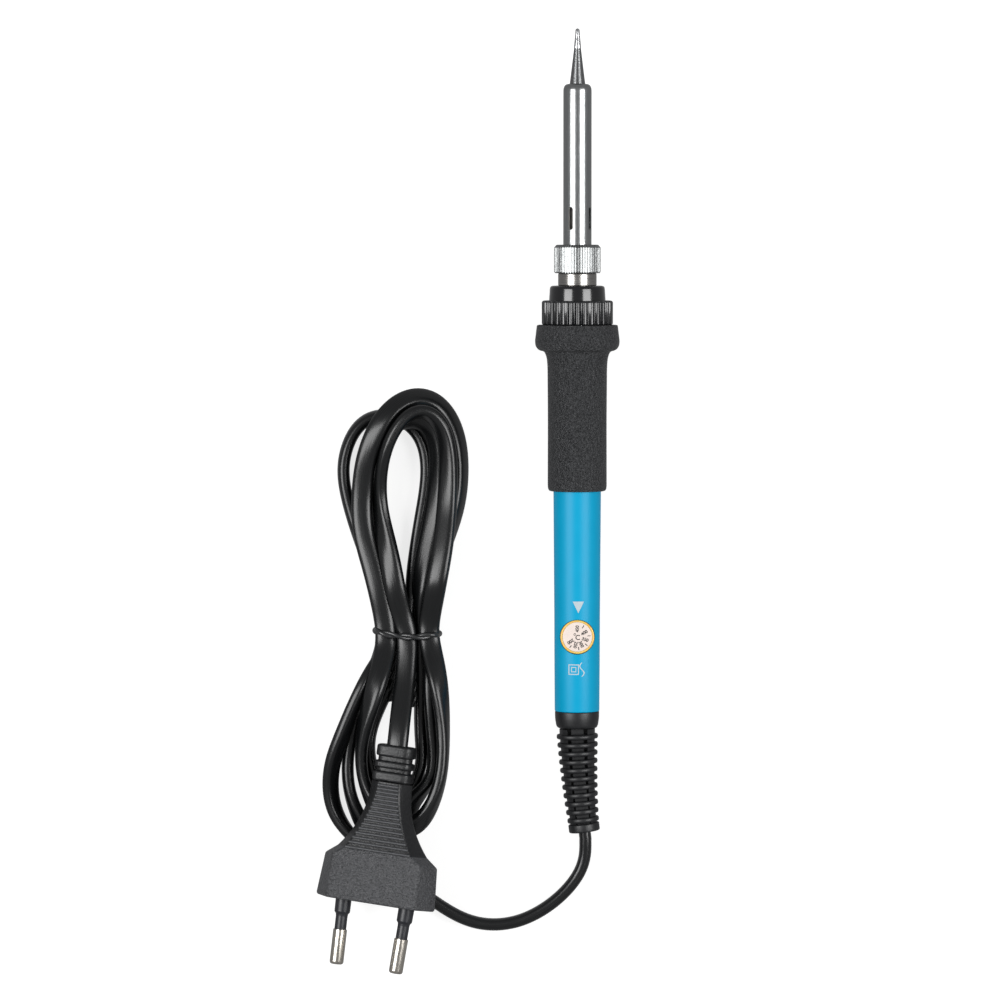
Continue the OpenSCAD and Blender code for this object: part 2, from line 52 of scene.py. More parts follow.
HANDLE_LEN = 63.2
HANDLE_REAR_R = 6.4
HANDLE_FRONT_R = 6.8
HANDLE_BORE_R = 5
GRIP_TOP = 110.7
GRIP_R = 8.45
BULGE_Z = 106.2
BULGE_R = 12.1
RING_Z = 110.8
RING_TOP = 117.7
NECK_TOP = 121.9
NIPPLE_TOP = 131
NUT_Z = 125.5
NUT_TOP = 133.6
SLEEVE_Z = 131.02
SLEEVE_TOP = 179.42
SLEEVE_R = 4.05
TIP_TOP = 195.22
DIAL_Z = 21.7
BOOT_LEN = 34.7
LEAD_HALF_WIDE = 3
LEAD_HALF_THIN = 1.75
GRIP_BORE_R = 6.85
TUBE_END = 101
REAR_Y = -79.8
PLUG_PLACE = (-57.7, -134.2, 16)
PLUG_TURN = -8.1
PLUG_ROLL = -12

lean = atan((BULGE_R - HANDLE_REAR_R) / BULGE_Z)
METRES = Matrix.Scale(MM, 4)
LAID = (METRES @ Matrix.Translation((0, REAR_Y, HANDLE_REAR_R * cos(lean)))
        @ Matrix.Rotation(lean - pi / 2, 4, "X"))
DIAL_UP = LAID @ Matrix.Translation((0, 0, DIAL_Z)) @ Matrix.Rotation(pi / 2, 4, "X")
PLUG = (METRES @ Matrix.Translation(PLUG_PLACE) @ Matrix.Rotation(radians(PLUG_TURN), 4, "Z")
        @ Matrix.Rotation(radians(PLUG_ROLL), 4, "Y"))

# -------- camera and light

# The camera, the lights and the floor are placed in metres
CAMERA_PLACE = (-0.0221, -0.0193, 1.613)
CAMERA_LENS = 201.6
CAMERA_SENSOR = 36
BOX_SIZE = (0.72, 0.6)
BOX_POWER = 10
BOX_ASIDE = 0.77
BOX_Y = -0.02
BOX_HEIGHT = 0.95
BOX_TILT = radians(39)
ROOM_COLOUR = (0.3, 0.3, 0.305, 1)


def placed(name, data):
    """Object of a mesh, text, camera or light, in the scene."""
    thing = bpy.data.objects.new(name, data)
    scene.collection.objects.link(thing)
    return thing


camera = placed("camera", bpy.data.cameras.new("camera"))
camera.data.lens = CAMERA_LENS
camera.data.sensor_width = CAMERA_SENSOR
camera.location = CAMERA_PLACE
scene.camera = camera
scene.view_settings.view_transform = "Standard"

# One wide softbox on each side of the table, and a pale room
for side in (-1, 1):
    box = placed("softbox", bpy.data.lights.new("softbox", "AREA"))
    box.data.shape = "RECTANGLE"
    box.data.size, box.data.size_y = BOX_SIZE
    box.data.energy = BOX_POWER
    box.location = (side * BOX_ASIDE, BOX_Y, BOX_HEIGHT)
    box.rotation_euler = (0, side * BOX_TILT, 0)
scene.world = bpy.data.worlds.new("pale room")
scene.world.use_nodes = True
scene.world.node_tree.nodes["Background"].inputs["Color"].default_value = ROOM_COLOUR

# -------- helpers for materials


def srgb(code):
    """Linear colour of a six-digit sRGB hex code."""
    shades = [int(code[i:i + 2], 16) / 255 for i in (0, 2, 4)]
    return [s / 12.92 if s <= 0.04045 else ((s + 0.055) / 1.055) ** 2.4 for s in shades] + [1]


def add(tree, kind, settings=None, inputs=None):
    """Adds a node. An input is a value, a socket to link from, or a node whose first output is taken."""
    node = tree.nodes.new(kind)
    for name, value in (settings or {}).items():
        setattr(node, name, value)
    for name, value in (enumerate(inputs) if isinstance(inputs, list) else (inputs or {}).items()):
        source = value.outputs[0] if isinstance(value, bpy.types.Node) else value
        if isinstance(source, bpy.types.NodeSocket):
            tree.links.new(source, node.inputs[name])
        else:
            node.inputs[name].default_value = source
    return node


def finish(name, colours, rough, grain, bump=0.0, stretch=(1, 1, 1), metallic=0.0, kind="ShaderNodeTexNoise",
           coords="Object", detail=3.0, shader=None):
    """Material whose colour, roughness and relief all follow one pattern; grain and bump are in mm."""
    material = bpy.data.materials.new(name)
    material.use_nodes = True
    tree = material.node_tree
    surface = tree.nodes["Principled BSDF"]
    for socket, value in {"Metallic": metallic, **(shader or {})}.items():
        surface.inputs[socket].default_value = value
    where = add(tree, "ShaderNodeTexCoord").outputs[coords]
    turned = add(tree, "ShaderNodeMapping", inputs={"Scale": stretch, "Vector": where})
    pattern = add(tree, kind, {"name": "pattern"}, {"Scale": 1 / (grain * MM), "Detail": detail,
                                                    "Vector": turned})
    tint = add(tree, "ShaderNodeMix", {"name": "tint", "data_type": "RGBA"},
               {0: pattern, 6: srgb(colours[0]), 7: srgb(colours[1])})
    gloss = add(tree, "ShaderNodeMapRange", {"name": "gloss"},
                {"Value": pattern, "To Min": rough[0], "To Max": rough[1]})
    tree.links.new(tint.outputs[2], surface.inputs["Base Color"])
    tree.links.new(gloss.outputs[0], surface.inputs["Roughness"])
    if bump:
        relief = add(tree, "ShaderNodeBump", {"name": "relief"}, {"Distance": bump * MM, "Height": pattern})
        tree.links.new(relief.outputs[0], surface.inputs["Normal"])
    return material


# -------- materials

# Moulded ABS: smooth satin gloss with the faintest orange peel
blue_abs = finish("moulded ABS, blue", ("0098c2", "049ec8"), (0.34, 0.42), 5, 0.02,
                  shader={"Specular IOR Level": 0.2})
# Moulded silicone rubber: dull, dark and pebbled all over like leather
rubber = finish("moulded silicone rubber, pebbled", ("0a0b0c", "3b3c3e"), (0.28, 0.5), 0.6, 0.75,
                kind="ShaderNodeTexVoronoi", detail=1.0)
# Glass-filled nylon: black, with a soft gloss on every rib
nylon = finish("glass-filled nylon, black", ("101113", "191a1c"), (0.18, 0.28), 0.6, 0.01,
               shader={"Coat Weight": 0.6, "Coat Roughness": 0.12})
# Compression-moulded phenolic: black with a mirror-like skin
bakelite = finish("phenolic, glossy black", ("08080a", "0f0f11"), (0.14, 0.2), 8, 0.004,
                  shader={"Coat Weight": 0.5, "Coat Roughness": 0.12})
# Nickel-plated turned steel: bright, a little warm, with turning lines round it
nickel = finish("nickel-plated steel, turned", ("868481", "b4b2ae"), (0.18, 0.32), 0.25, 0.008,
                stretch=(0.1, 1, 0.1), metallic=1.0)
# Polished stainless tube: bright bands and fine drawing lines along it, drawn coarser so that they show
steel = finish("stainless steel tube, polished", ("8b8d8e", "b0b2b2"), (0.2, 0.3), 0.22, 0.004,
               stretch=(1, 0.04, 1), metallic=1.0)
# Chromed brass: nearly white, with fine scuffs from the spanner
chrome = finish("chrome-plated brass", ("727474", "a9abab"), (0.3, 0.46), 0.4, 0.06,
                stretch=(1, 0.5, 1), metallic=1.0, detail=5.0)
# Iron-plated copper tip: grey, slightly rough, with turning lines
plated = finish("iron-plated copper", ("6c6e70", "a3a4a4"), (0.14, 0.28), 0.3, 0.012,
                stretch=(0.2, 1, 0.2), metallic=1.0)
# Solder: tinned end of the tip, mirror-bright and slightly lumpy
tinned = finish("tinned with solder", ("b9bbbd", "e6e7e8"), (0.1, 0.2), 1.6, 0.015, metallic=1.0)
# Acetal, amber: slightly translucent knob of the dial
amber = finish("acetal, amber", ("e2ad45", "f3cd78"), (0.25, 0.34), 2.2, 0.006,
               shader={"Subsurface Weight": 0.15, "Subsurface Scale": 0.002})
# White ABS face of the dial
dial_white = finish("moulded ABS, white", ("d8cac1", "e6d8cf"), (0.38, 0.5), 1.5, 0.006)
# Pad-printed inks
white_ink = finish("pad-printed ink, white", ("a3b4bc", "bccad0"), (0.45, 0.6), 0.35, 0.004)
black_ink = finish("pad-printed ink, black", ("1d1b1a", "302d2b"), (0.45, 0.6), 0.3, 0.003)
# Flexible PVC of the strain relief: satin, almost without grain
relief_pvc = finish("moulded flexible PVC, satin black", ("0e0f11", "191a1c"), (0.34, 0.46), 0.9, 0.015)
# Extruded PVC jacket: glossy, with faint flow lines along its length
jacket = finish("extruded PVC jacket, black", ("08090a", "101112"), (0.22, 0.32), 4, 0.02,
                stretch=(1, 12, 1), coords="UV", shader={"Specular IOR Level": 0.5})
# PVC-coated soft wire of the twist tie
tie_pvc = finish("PVC-coated tie wire", ("1a1b1b", "2c2d2e"), (0.2, 0.3), 1.2, 0.01,
                 shader={"Specular IOR Level": 0.7})
# Moulded PVC of the plug: satin on the ribs and the collar
plug_pvc = finish("moulded PVC, satin black", ("060607", "1a1b1d"), (0.3, 0.46), 0.5, 0.12, detail=2.0)
# The same PVC on the plug's ribs, painted paler all over: a painted highlight that stands for light falling
# on their tops
rib_pvc_painted_highlight = finish("moulded PVC, painted highlight", ("232426", "4b4c4f"), (0.3, 0.42), 0.8, 0.03,
                      detail=2.0)
# The same PVC on the plug's body, where a spark-eroded mould leaves a coarse sparkling grit; the grit is
# drawn coarser than it is, so that it shows
plug_grit = finish("moulded PVC, spark-eroded", ("0a0a0b", "57585b"), (0.26, 0.46), 0.6, 0.6, detail=2.5)
# Smooth nylon sleeves at the roots of the pins
pin_nylon = finish("moulded nylon, satin black", ("1b1c20", "26272c"), (0.3, 0.4), 0.8, 0.008)
# Nickel-plated brass pins: warm silver with fine lines along them
pin_nickel = finish("nickel-plated brass", ("a9a49b", "d8d2c8"), (0.16, 0.3), 0.3, 0.01,
                    stretch=(1, 0.05, 1), metallic=1.0)
# Pieces inside the iron: unglazed ceramic, glossy cases and lenses, dull sleeving and bright solder
ceramic = finish("alumina ceramic, unglazed", ("dcd8ce", "efece4"), (0.5, 0.62), 0.5, 0.01)
board = finish("glass-epoxy board, green", ("0f4a2a", "1a6a3c"), (0.3, 0.42), 1.0, 0.006)
blue_case = finish("moulded epoxy, blue", ("1c4aa0", "2b5cb8"), (0.35, 0.45), 1.0, 0.01)
red_lens = finish("epoxy lens, red", ("a01a12", "d0301c"), (0.12, 0.2), 2.0, 0.004)
black_chip = finish("moulded epoxy, black", ("151517", "212124"), (0.45, 0.6), 0.3, 0.01)
violet_glass = finish("glass, violet", ("4a2e86", "6a48ac"), (0.12, 0.2), 1.0, 0.004)
yellow_film = finish("dipped film, yellow", ("b98d22", "d9ac3c"), (0.25, 0.35), 1.2, 0.01)
tan_lacquer = finish("lacquer, tan", ("b08a58", "cda672"), (0.3, 0.42), 0.8, 0.01)
glass_sleeving = finish("braided glass sleeving", ("cfcabb", "ece8dc"), (0.6, 0.8), 0.5, 0.05)
solder = finish("solder", ("a8aaab", "d2d4d5"), (0.16, 0.3), 0.6, 0.03, metallic=1.0)
brown_pvc = finish("PVC wire insulation", ("5a3420", "7a4a2e"), (0.35, 0.45), 0.7, 0.01)
white_nylon = finish("moulded nylon, natural", ("cfcabd", "e6e2d6"), (0.4, 0.5), 0.9, 0.01)

# -------- helpers for shapes


def mesh_of(name, corners, faces, at=METRES, sharp=32):
    """Mesh with merged doubles, outward faces and smooth shading; at takes millimetres to the frame."""
    shape = bmesh.new()
    verts = [shape.verts.new(at @ Vector(p)) for p in corners]
    for f in faces:
        shape.faces.new([verts[i] for i in f])
    bmesh.ops.remove_doubles(shape, verts=shape.verts, dist=1e-7)
    bmesh.ops.dissolve_degenerate(shape, edges=shape.edges, dist=1e-7)
    bmesh.ops.recalc_face_normals(shape, faces=shape.faces)
    mesh = bpy.data.meshes.new(name)
    shape.to_mesh(mesh)
    shape.free()
    return smoothed(mesh, sharp)


def smoothed(mesh, sharp=32):
    """Smooth shading with sharp edges where faces meet at more than sharp degrees."""
    mesh.shade_smooth()
    mesh.set_sharp_from_angle(angle=radians(sharp))
    return mesh


def joined(name, meshes):
    """One mesh of several."""
    shape = bmesh.new()
    for mesh in meshes:
        shape.from_mesh(mesh)
    whole = bpy.data.meshes.new(name)
    shape.to_mesh(whole)
    shape.free()
    return whole


def skin(rings, wrap=False):
    """Corners and faces of a closed skin through equally long rings; wrap joins the last to the first."""
    count, total = len(rings[0]), len(rings)
    faces = []
    for i in range(total if wrap else total - 1):
        a, b = i * count, (i + 1) % total * count
        faces += [(a + j, a + (j + 1) % count, b + (j + 1) % count, b + j) for j in range(count)]
    if not wrap:
        faces += [tuple(range(count)), tuple(range((total - 1) * count, total * count))]
    return [p for ring in rings for p in ring], faces


def rounded(outline, closed=True, steps=5):
    """Outline of (x, y, trim) corners; a trim cuts the corner back by that much and rounds it."""
    count = len(outline)
    path = []
    for i, (x, y, trim) in enumerate(outline):
        corner = Vector((x, y))
        if not trim or (not closed and i in (0, count - 1)):
            path.append(corner)
            continue
        before = Vector(outline[i - 1][:2]) - corner
        after = Vector(outline[(i + 1) % count][:2]) - corner
        first = corner + before.normalized() * min(trim, before.length * 0.5)
        last = corner + after.normalized() * min(trim, after.length * 0.5)
        path += [first.lerp(corner, k / steps).lerp(corner.lerp(last, k / steps), k / steps)
                 for k in range(steps + 1)]
    return path


def lathe(name, outline, at=LAID, steps=128, closed=True, sharp=32):
    """Turned piece: an outline of (radius, z, trim) corners spun round the z axis."""
    turns = [(cos(tau * k / steps), sin(tau * k / steps)) for k in range(steps)]
    rings = [[(p.x * c, p.x * s, p.y) for c, s in turns] for p in rounded(outline, closed)]
    corners, faces = skin(rings, wrap=closed)
    if not closed:
        faces = faces[:-2]
    return mesh_of(name, corners, faces, at, sharp)


def baked(thing, *helpers):
    """Plain mesh of an object with its modifiers; the object and its helpers are removed."""
    mesh = bpy.data.meshes.new_from_object(thing.evaluated_get(bpy.context.evaluated_depsgraph_get()))
    for used in (thing, *helpers):
        bpy.data.objects.remove(used)
    return mesh


def cut_away(mesh, cutters):
    """The mesh with closed cutter meshes taken out of it."""
    blank = placed("blank", mesh)
    tools = [placed("tool", cutter) for cutter in cutters]
    for tool in tools:
        bite = blank.modifiers.new("bite", "BOOLEAN")
        bite.object = tool
        bite.solver = "EXACT"
    return smoothed(baked(blank, *tools))


def shown(name, mesh, material, body="root", stands_for=()):
    """Puts a finished mesh in the scene, on its body and in its material slot."""
    mesh.materials.clear()
    mesh.materials.append(material)
    piece = placed(name, mesh)
    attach(piece, body)
    if stands_for:
        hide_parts(*stands_for)
    return piece


def moved(mesh, at):
    """The mesh, moved by a matrix."""
    mesh.transform(at)
    return mesh


# -------- helpers for Geometry Nodes


def new_tree(name, inputs):
    """Geometry tree with named number inputs and their starting values, and the sockets of its inputs."""
    tree = bpy.data.node_groups.new(name, "GeometryNodeTree")
    tree.interface.new_socket("Geometry", in_out="INPUT", socket_type="NodeSocketGeometry")
    for label, value in inputs.items():
        kind = "NodeSocketInt" if isinstance(value, int) else "NodeSocketFloat"
        tree.interface.new_socket(label, in_out="INPUT", socket_type=kind).default_value = value
    tree.interface.new_socket("Material", in_out="INPUT", socket_type="NodeSocketMaterial")
    tree.interface.new_socket("Geometry", in_out="OUTPUT", socket_type="NodeSocketGeometry")
    return tree, add(tree, "NodeGroupInput").outputs


MATH = "ShaderNodeMath"
VECTOR_MATH = "ShaderNodeVectorMath"
PLUS, MINUS, TIMES, OVER, POWER, ROOT, COSINE, SINE, ARCTAN, ARCTAN2, ROUND, UNSIGNED, LEAST, ABOVE = (
    {"operation": name} for name in (
        "ADD", "SUBTRACT", "MULTIPLY", "DIVIDE", "POWER", "SQRT", "COSINE", "SINE", "ARCTANGENT", "ARCTAN2",
        "ROUND", "ABSOLUTE", "MINIMUM", "GREATER_THAN"))


def close_tree(tree, given, geometry):
    """Ends a tree in Realize Instances and Set Material."""
    real = add(tree, "GeometryNodeRealizeInstances", inputs={"Geometry": geometry})
    done = add(tree, "GeometryNodeSetMaterial", inputs={"Geometry": real, "Material": given["Material"]})
    add(tree, "NodeGroupOutput", inputs={"Geometry": done})


def grown(mesh, tree, material, **sizes):
    """Plain mesh that the tree makes from a mesh; an underscore in a size's name stands for a space."""
    seed = placed("seed", mesh)
    modifier = seed.modifiers.new("grow", "NODES")
    modifier.node_group = tree
    sockets = {s.name: s.identifier for s in tree.interface.items_tree if s.in_out == "INPUT"}
    for label, value in sizes.items():
        modifier[sockets[label.replace("_", " ")]] = value
    modifier[sockets["Material"]] = material
    return baked(seed)


# -------- the lead

# FREE and TAIL are the two ends of the route, with points (x, y, height). Each stretch between them has its
# rank, which says how high it lies among the others, and points (x, y, turn): a turn of 0 or -180 has the
# lead's wide side up, and 90 or -90 has it on edge.
FREE = [(2.2, -114.4, 4.5), (2.6, -119, 3.8), (2, -124, 3.2), (-0.8, -129, 3), (-5.3, -133.8, 3),
        (-10.9, -137.8, 3), (-17, -140.5, 3), (-23.7, -141.5, 3), (-30.2, -140.6, 3), (-35.6, -138.2, 3),
        (-40.6, -135, 3), (-45.6, -131.4, 3), (-51, -127.4, 3), (-56.4, -123.6, 3), (-61, -120, 3),
        (-64.6, -116, 3)]
STRETCHES = [
    # up the outermost left of the lower lobe
    (3, [(-68, -112, 70), (-70.2, -107, 62), (-70.9, -101, 60), (-70, -94, 60), (-67.2, -86.5, 62),
         (-63.6, -77.5, 70), (-59.6, -69, 80), (-55.5, -62.5, 90)]),
    # low lobe at the top, wide side up on its way down the right
    (3, [(-52.2, -57.6, 90), (-53, -53.5, 90), (-53.9, -46.4, 85), (-55.3, -39.3, 80), (-57, -32.2, 75),
         (-58.6, -24, 80), (-59.4, -13.3, 85), (-58.4, -5, 75), (-55.6, 0, 60), (-51.9, 3, 50),
         (-47.8, 4.2, 45), (-43.8, 3.4, 45), (-41.2, 0, 45), (-40, -4.8, 45), (-39.8, -10.5, 40),
         (-40.2, -16.1, 35), (-40.8, -21.8, 28), (-42, -28.5, 22), (-43.6, -35.7, 25), (-44.8, -43, 45),
         (-45.4, -50.5, 75)]),
    # down the inner right of the lower lobe, round and up its inner left
    (1, [(-45.2, -57.6, 90), (-45, -65, 90), (-45, -74, 85), (-45.1, -83, 85), (-44.8, -89.5, 88),
         (-44.5, -95, 88), (-46, -99.5, 90), (-48.3, -104, 90), (-51.6, -107.4, 90), (-55.2, -105.6, 90),
         (-57.6, -100.5, 90), (-59.3, -95, 90), (-59.9, -89.5, 90), (-58.6, -83.5, 90), (-55.8, -77, 90),
         (-52.6, -70.5, 90), (-49.8, -64.5, 90)]),
    # lowest lobe at the top: up the inner right, over, and down the outermost left
    (1, [(-48.7, -57.6, 90), (-47.9, -50, 90), (-47.4, -41, 88), (-46.2, -32, 86), (-44.7, -23, 86),
         (-43.4, -15, 86), (-43.2, -8, 85), (-44.6, -1.9, 82), (-47.6, 2, 80), (-52, 4.6, 80),
         (-57, 5.2, 80), (-61.6, 3.4, 80), (-65, -1.2, 82), (-66.9, -7, 84), (-67.2, -12.5, 86),
         (-65.9, -19.5, 86), (-63.4, -28, 86), (-60.4, -36.5, 88), (-57.8, -45, 90), (-56.2, -52, 90)]),
    # second left of the lower lobe, round and up the right
    (2, [(-55.7, -57.6, 90), (-56.8, -63.5, 88), (-60, -71.5, 85), (-63, -80, 82), (-65.2, -88.5, 85),
         (-66, -96, 86), (-65.4, -103, 84), (-63.4, -109, 70), (-60.2, -114.6, 45), (-56.4, -117.4, 30),
         (-52.4, -116, 25), (-50, -111.6, 25), (-48.4, -107.4, 40), (-45.8, -104, 60), (-42.9, -101.2, 80),
         (-41.2, -97, 88), (-41.3, -91, 88), (-41.9, -83.5, 88), (-42.4, -75, 88), (-42.4, -66, 90)]),
    # outermost lobe at the top: up the right on edge, over, and down the left with its wide side up
    (4, [(-41.7, -57.6, 90), (-41.6, -51, 88), (-40.8, -44.5, 84), (-39.4, -37.8, 78), (-37.4, -31, 72),
         (-35.2, -24.6, 68), (-33.7, -17.5, 66), (-33.3, -10.5, 64), (-33.8, -3.6, 60), (-35.6, 2.6, 56),
         (-38.6, 7.4, 52), (-42.6, 10.2, 48), (-47.2, 10.4, 42), (-51.6, 8.1, 34), (-55.6, 3.8, 22),
         (-58.6, -2, 10), (-60.6, -8.5, 4), (-61.6, -16, 2), (-61.8, -24, 2), (-60.8, -31, 4),
         (-58.8, -38, 6), (-57, -45, 4), (-55.6, -51.5, 2)]),
    # third left of the lower lobe, round and up the outermost right
    (4, [(-54.7, -57.6, 0), (-55.3, -64, 8), (-57.4, -72, 26), (-60, -80.5, 55), (-61.7, -88.5, 78),
         (-61.9, -95.5, 86), (-60.7, -101.5, 84), (-58.2, -107, 60), (-54.8, -111.4, 30), (-51, -113.8, 20),
         (-47.2, -113.4, 30), (-43.9, -110.5, 50), (-41.3, -106, 70), (-39.6, -101.2, 80),
         (-38.6, -95.5, 84), (-38.3, -88.5, 80), (-38.6, -80.5, 66), (-39.6, -72.5, 40),
         (-41.2, -64.5, 14)]),
    # top lobe: up the right with its wide side up, over on edge, and down the left
    (5, [(-42.7, -57.6, 0), (-42, -52, -6), (-40.8, -46, -10), (-39.6, -39.5, -14), (-38.4, -32.5, -18),
         (-37.6, -25, -22), (-37.1, -18, -28), (-36.9, -11, -36), (-37.2, -4.2, -46), (-38.6, 1.4, -56),
         (-41.4, 5.4, -66), (-45, 6.6, -76), (-48.6, 5, -86), (-51.8, 1.2, -94), (-54.4, -4, -98),
         (-56, -10.4, -98), (-56.4, -17.5, -100), (-55.8, -25, -120), (-54.5, -32.2, -150),
         (-53, -39.3, -168), (-51.7, -46.4, -176), (-50.2, -52.6, -180)]),
    # out of the tie to the plug
    (6, [(-48.7, -57.6, -180)]),
]
TAIL = [(-48.8, -62, 8.2), (-48.9, -66.2, 8.9), (-49.4, -71.5, 9.8), (-50, -76.5, 11.8), (-50.5, -81, 13.9),
        (-50.9, -85, 15.5), (-51.2, -88.4, 16), (-51.7, -91.9, 16)]
WAIST_Y = -57.6
LOW_AT_WAIST = 3.0
HIGH_AT_WAIST = 7.75
FREE_RANK = 0
FREE_TURN = 90
TAIL_RANK = 6
TAIL_TURN = -168
STEP = 1.0
# How far from the waist the tie holds the lead fully, and how far it holds it at all
HELD_REACH = 2
FREE_REACH = 14
# Points nearer along the lead than this are neighbours, and do not lie on each other
NEIGHBOURS = 16
SETTLING_PASSES = 8
# Points taken to each side when the line, the lift over a crossing and the heights are smoothed
LINE_REACH = 3
LIFT_REACH = 5
HEIGHT_REACH = 6
# How much further off a point of another rank counts, in mm, and how near the waist a stop belongs to it
OTHER_RANK = 50
AT_WAIST = 0.8
TOUCHING = 0.97


def through(points, step):
    """Evenly spaced points on a smooth line through the given ones, of any number of columns."""
    p = np.array([points[0]] + list(points) + [points[-1]], float)
    fine = []
    for i in range(1, len(p) - 2):
        t = np.linspace(0, 1, 12, endpoint=False)[:, None]
        a, b, c, d = p[i - 1:i + 3]
        fine.append(0.5 * (2 * b + (c - a) * t + (2 * a - 5 * b + 4 * c - d) * t ** 2
                           + (3 * b - a - 3 * c + d) * t ** 3))
    fine = np.vstack(fine + [p[-1:]])
    along = np.concatenate([[0], np.cumsum(np.linalg.norm(np.diff(fine[:, :2], axis=0), axis=1))])
    spots = np.linspace(0, along[-1], int(ceil(along[-1] / step)) + 1)
    return np.stack([np.interp(spots, along, column) for column in fine.T], axis=1)


def softened(values, reach, pad="edge"):
    """Running average over reach points to each side, twice."""
    weights = np.ones(2 * reach + 1) / (2 * reach + 1)
    for _ in range(2):
        values = np.convolve(np.pad(values, reach, mode=pad), weights, mode="valid")
    return values


route, given, rank = [], [], []
for x, y, height in FREE:
    route.append((x, y, FREE_TURN))
    given.append(height)
    rank.append(FREE_RANK)
for low, points in STRETCHES:
    for x, y, turn in points:
        at_waist = y == WAIST_Y
        route.append((x, y, turn))
        given.append((HIGH_AT_WAIST if turn in (0, -180) else LOW_AT_WAIST) if at_waist else -1)
        rank.append(low)
for x, y, height in TAIL:
    route.append((x, y, TAIL_TURN))
    given.append(height)
    rank.append(TAIL_RANK)

# The line seen from above, then each point's height: on the table, or on what it lies over
line = through([(*p, g, r) for p, g, r in zip(route, given, rank)], STEP)
for column in (0, 1, 2):
    line[LINE_REACH:-LINE_REACH, column] = softened(line[:, column], LINE_REACH)[LINE_REACH:-LINE_REACH]
turn = np.radians(line[:, 2])
half_wide = LEAD_HALF_THIN + (LEAD_HALF_WIDE - LEAD_HALF_THIN) * np.abs(np.cos(turn))
half_high = LEAD_HALF_THIN + (LEAD_HALF_WIDE - LEAD_HALF_THIN) * np.abs(np.sin(turn))
level = np.round(line[:, 4])
pinned = np.interp(np.abs(line[:, 1] - WAIST_Y), [HELD_REACH, FREE_REACH], [1, 0])
pinned = pinned * pinned * (3 - 2 * pinned)
arc = np.arange(len(line))
ends = np.where(level <= FREE_RANK, 1.0, 0.0)
tail_start = int(np.argmax((level >= TAIL_RANK) & (line[:, 1] < TAIL[0][1])))
ends[tail_start:] = 1
near_waist = np.abs(line[:, 1] - WAIST_Y) < FREE_REACH
stops = []
for (x, y, _), g, r in zip(route, given, rank):
    if g >= 0:
        away = np.hypot(line[:, 0] - x, line[:, 1] - y) + OTHER_RANK * (np.abs(level - r) > 1.01)
        stops.append((int(np.argmin(away)), g))
fixed = np.interp(arc, [i for i, _ in stops], [g for _, g in stops])
waist_stops = [(i, g) for i, g in stops if abs(line[i, 1] - WAIST_Y) < AT_WAIST]
for i in arc[near_waist & (ends == 0)]:
    fixed[i] = min(waist_stops, key=lambda stop: abs(stop[0] - i))[1]
held = np.maximum(pinned, ends)
gap = np.hypot(line[:, None, 0] - line[None, :, 0], line[:, None, 1] - line[None, :, 1])
room = half_wide[:, None] + half_wide[None, :]
lift = (half_high[:, None] + half_high[None, :]) * np.sqrt(np.clip(1 - (gap / room) ** 2, 0, 1))
apart = np.abs(arc[:, None] - arc[None, :]) > NEIGHBOURS
over = (level[:, None] > level[None, :]) & (gap < room * TOUCHING) & apart
height = half_high.copy()
for _ in range(SETTLING_PASSES):
    need = np.where(over, height[None, :] + lift, 0).max(axis=1)
    need = np.maximum(need, half_high)
    wide = np.array([need[max(0, i - LIFT_REACH):i + LIFT_REACH + 1].max() for i in range(len(need))])
    height = softened(wide, HEIGHT_REACH)
    height = np.maximum(height, half_high)
    height = held * fixed + (1 - held) * height
height = softened(height, LINE_REACH)
line[:, 2] = height

# The flat jacket: an oval section that follows the line, turned as each point says
centres = line[:, :3]
heading = np.gradient(centres, axis=0)
heading /= np.linalg.norm(heading, axis=1)[:, None]
aside = np.cross(heading, [0, 0, 1])
aside /= np.linalg.norm(aside, axis=1)[:, None]
upright = np.cross(aside, heading)
across = np.cos(turn)[:, None] * aside - np.sin(turn)[:, None] * upright
through_it = np.cross(heading, across)
SIDES = 32
CROWN = 0.74
SIDE_WIDTH = 0.7
section = []
for k in range(SIDES):
    a = tau * (k + 0.5) / SIDES
    u, v = abs(cos(a)) ** CROWN, abs(sin(a)) ** CROWN
    section.append((LEAD_HALF_WIDE * (u if cos(a) > 0 else -u), LEAD_HALF_THIN * (v if sin(a) > 0 else -v)))
rings = [[tuple(c + u * w + v * t) for u, v in section] for c, w, t in zip(centres, across, through_it)]
corners, faces = skin(rings)
lead_mesh = bpy.data.meshes.new("lead")
lead_mesh.from_pydata([Vector(p) * MM for p in corners], [], [tuple(reversed(f)) for f in faces])
unrolled = lead_mesh.uv_layers.new(name="along and round")
for face in lead_mesh.polygons:
    for loop in face.loop_indices:
        ring, side = divmod(lead_mesh.loops[loop].vertex_index, SIDES)
        unrolled.data[loop].uv = (ring * STEP * MM, side * SIDE_WIDTH * MM)
lead = shown("lead", smoothed(lead_mesh, 60), jacket, stands_for=("cord", "cord_hank",
                                                                              "plug_lead"))

# -------- plug

PLUG_BODY_LEN = 14.9
WEDGE_LEN = 19.7
COLLAR_LEN = 10.8
PIN_LEN = 19
PIN_PITCH = 18.6
PIN_R = 2
PIN_SPLAY = 0.029
EDGE_TRIM = 0.8
WEDGE_STEPS = 24
# Half sizes of the wedge at the collar, how much more they are at the body, and how they swell in between
SIDE_SWELL = (6.2, 7.1, 2.3)
FACE_SWELL = (3.2, 6.5, 1.8)
THICK_SWELL = (4.3, 2.2, 1.6)
# The body: y, half sizes of its side and its face, half its thickness
PLUG_PROFILE = ((0, 17, 12.7, 6.3), (0.12, 17.35, 12.9, 6.6), (0.45, 17.6, 13.03, 6.81),
                (0.9, 17.65, 13.05, 6.85), (11.9, 16.7, 12.9, 6.85), (12.3, 16.55, 12.85, 6.85),
                (12.6, 16.25, 12.7, 6.83), (13.3, 15.35, 12, 6.75), (14.1, 14.3, 10.9, 6.62))


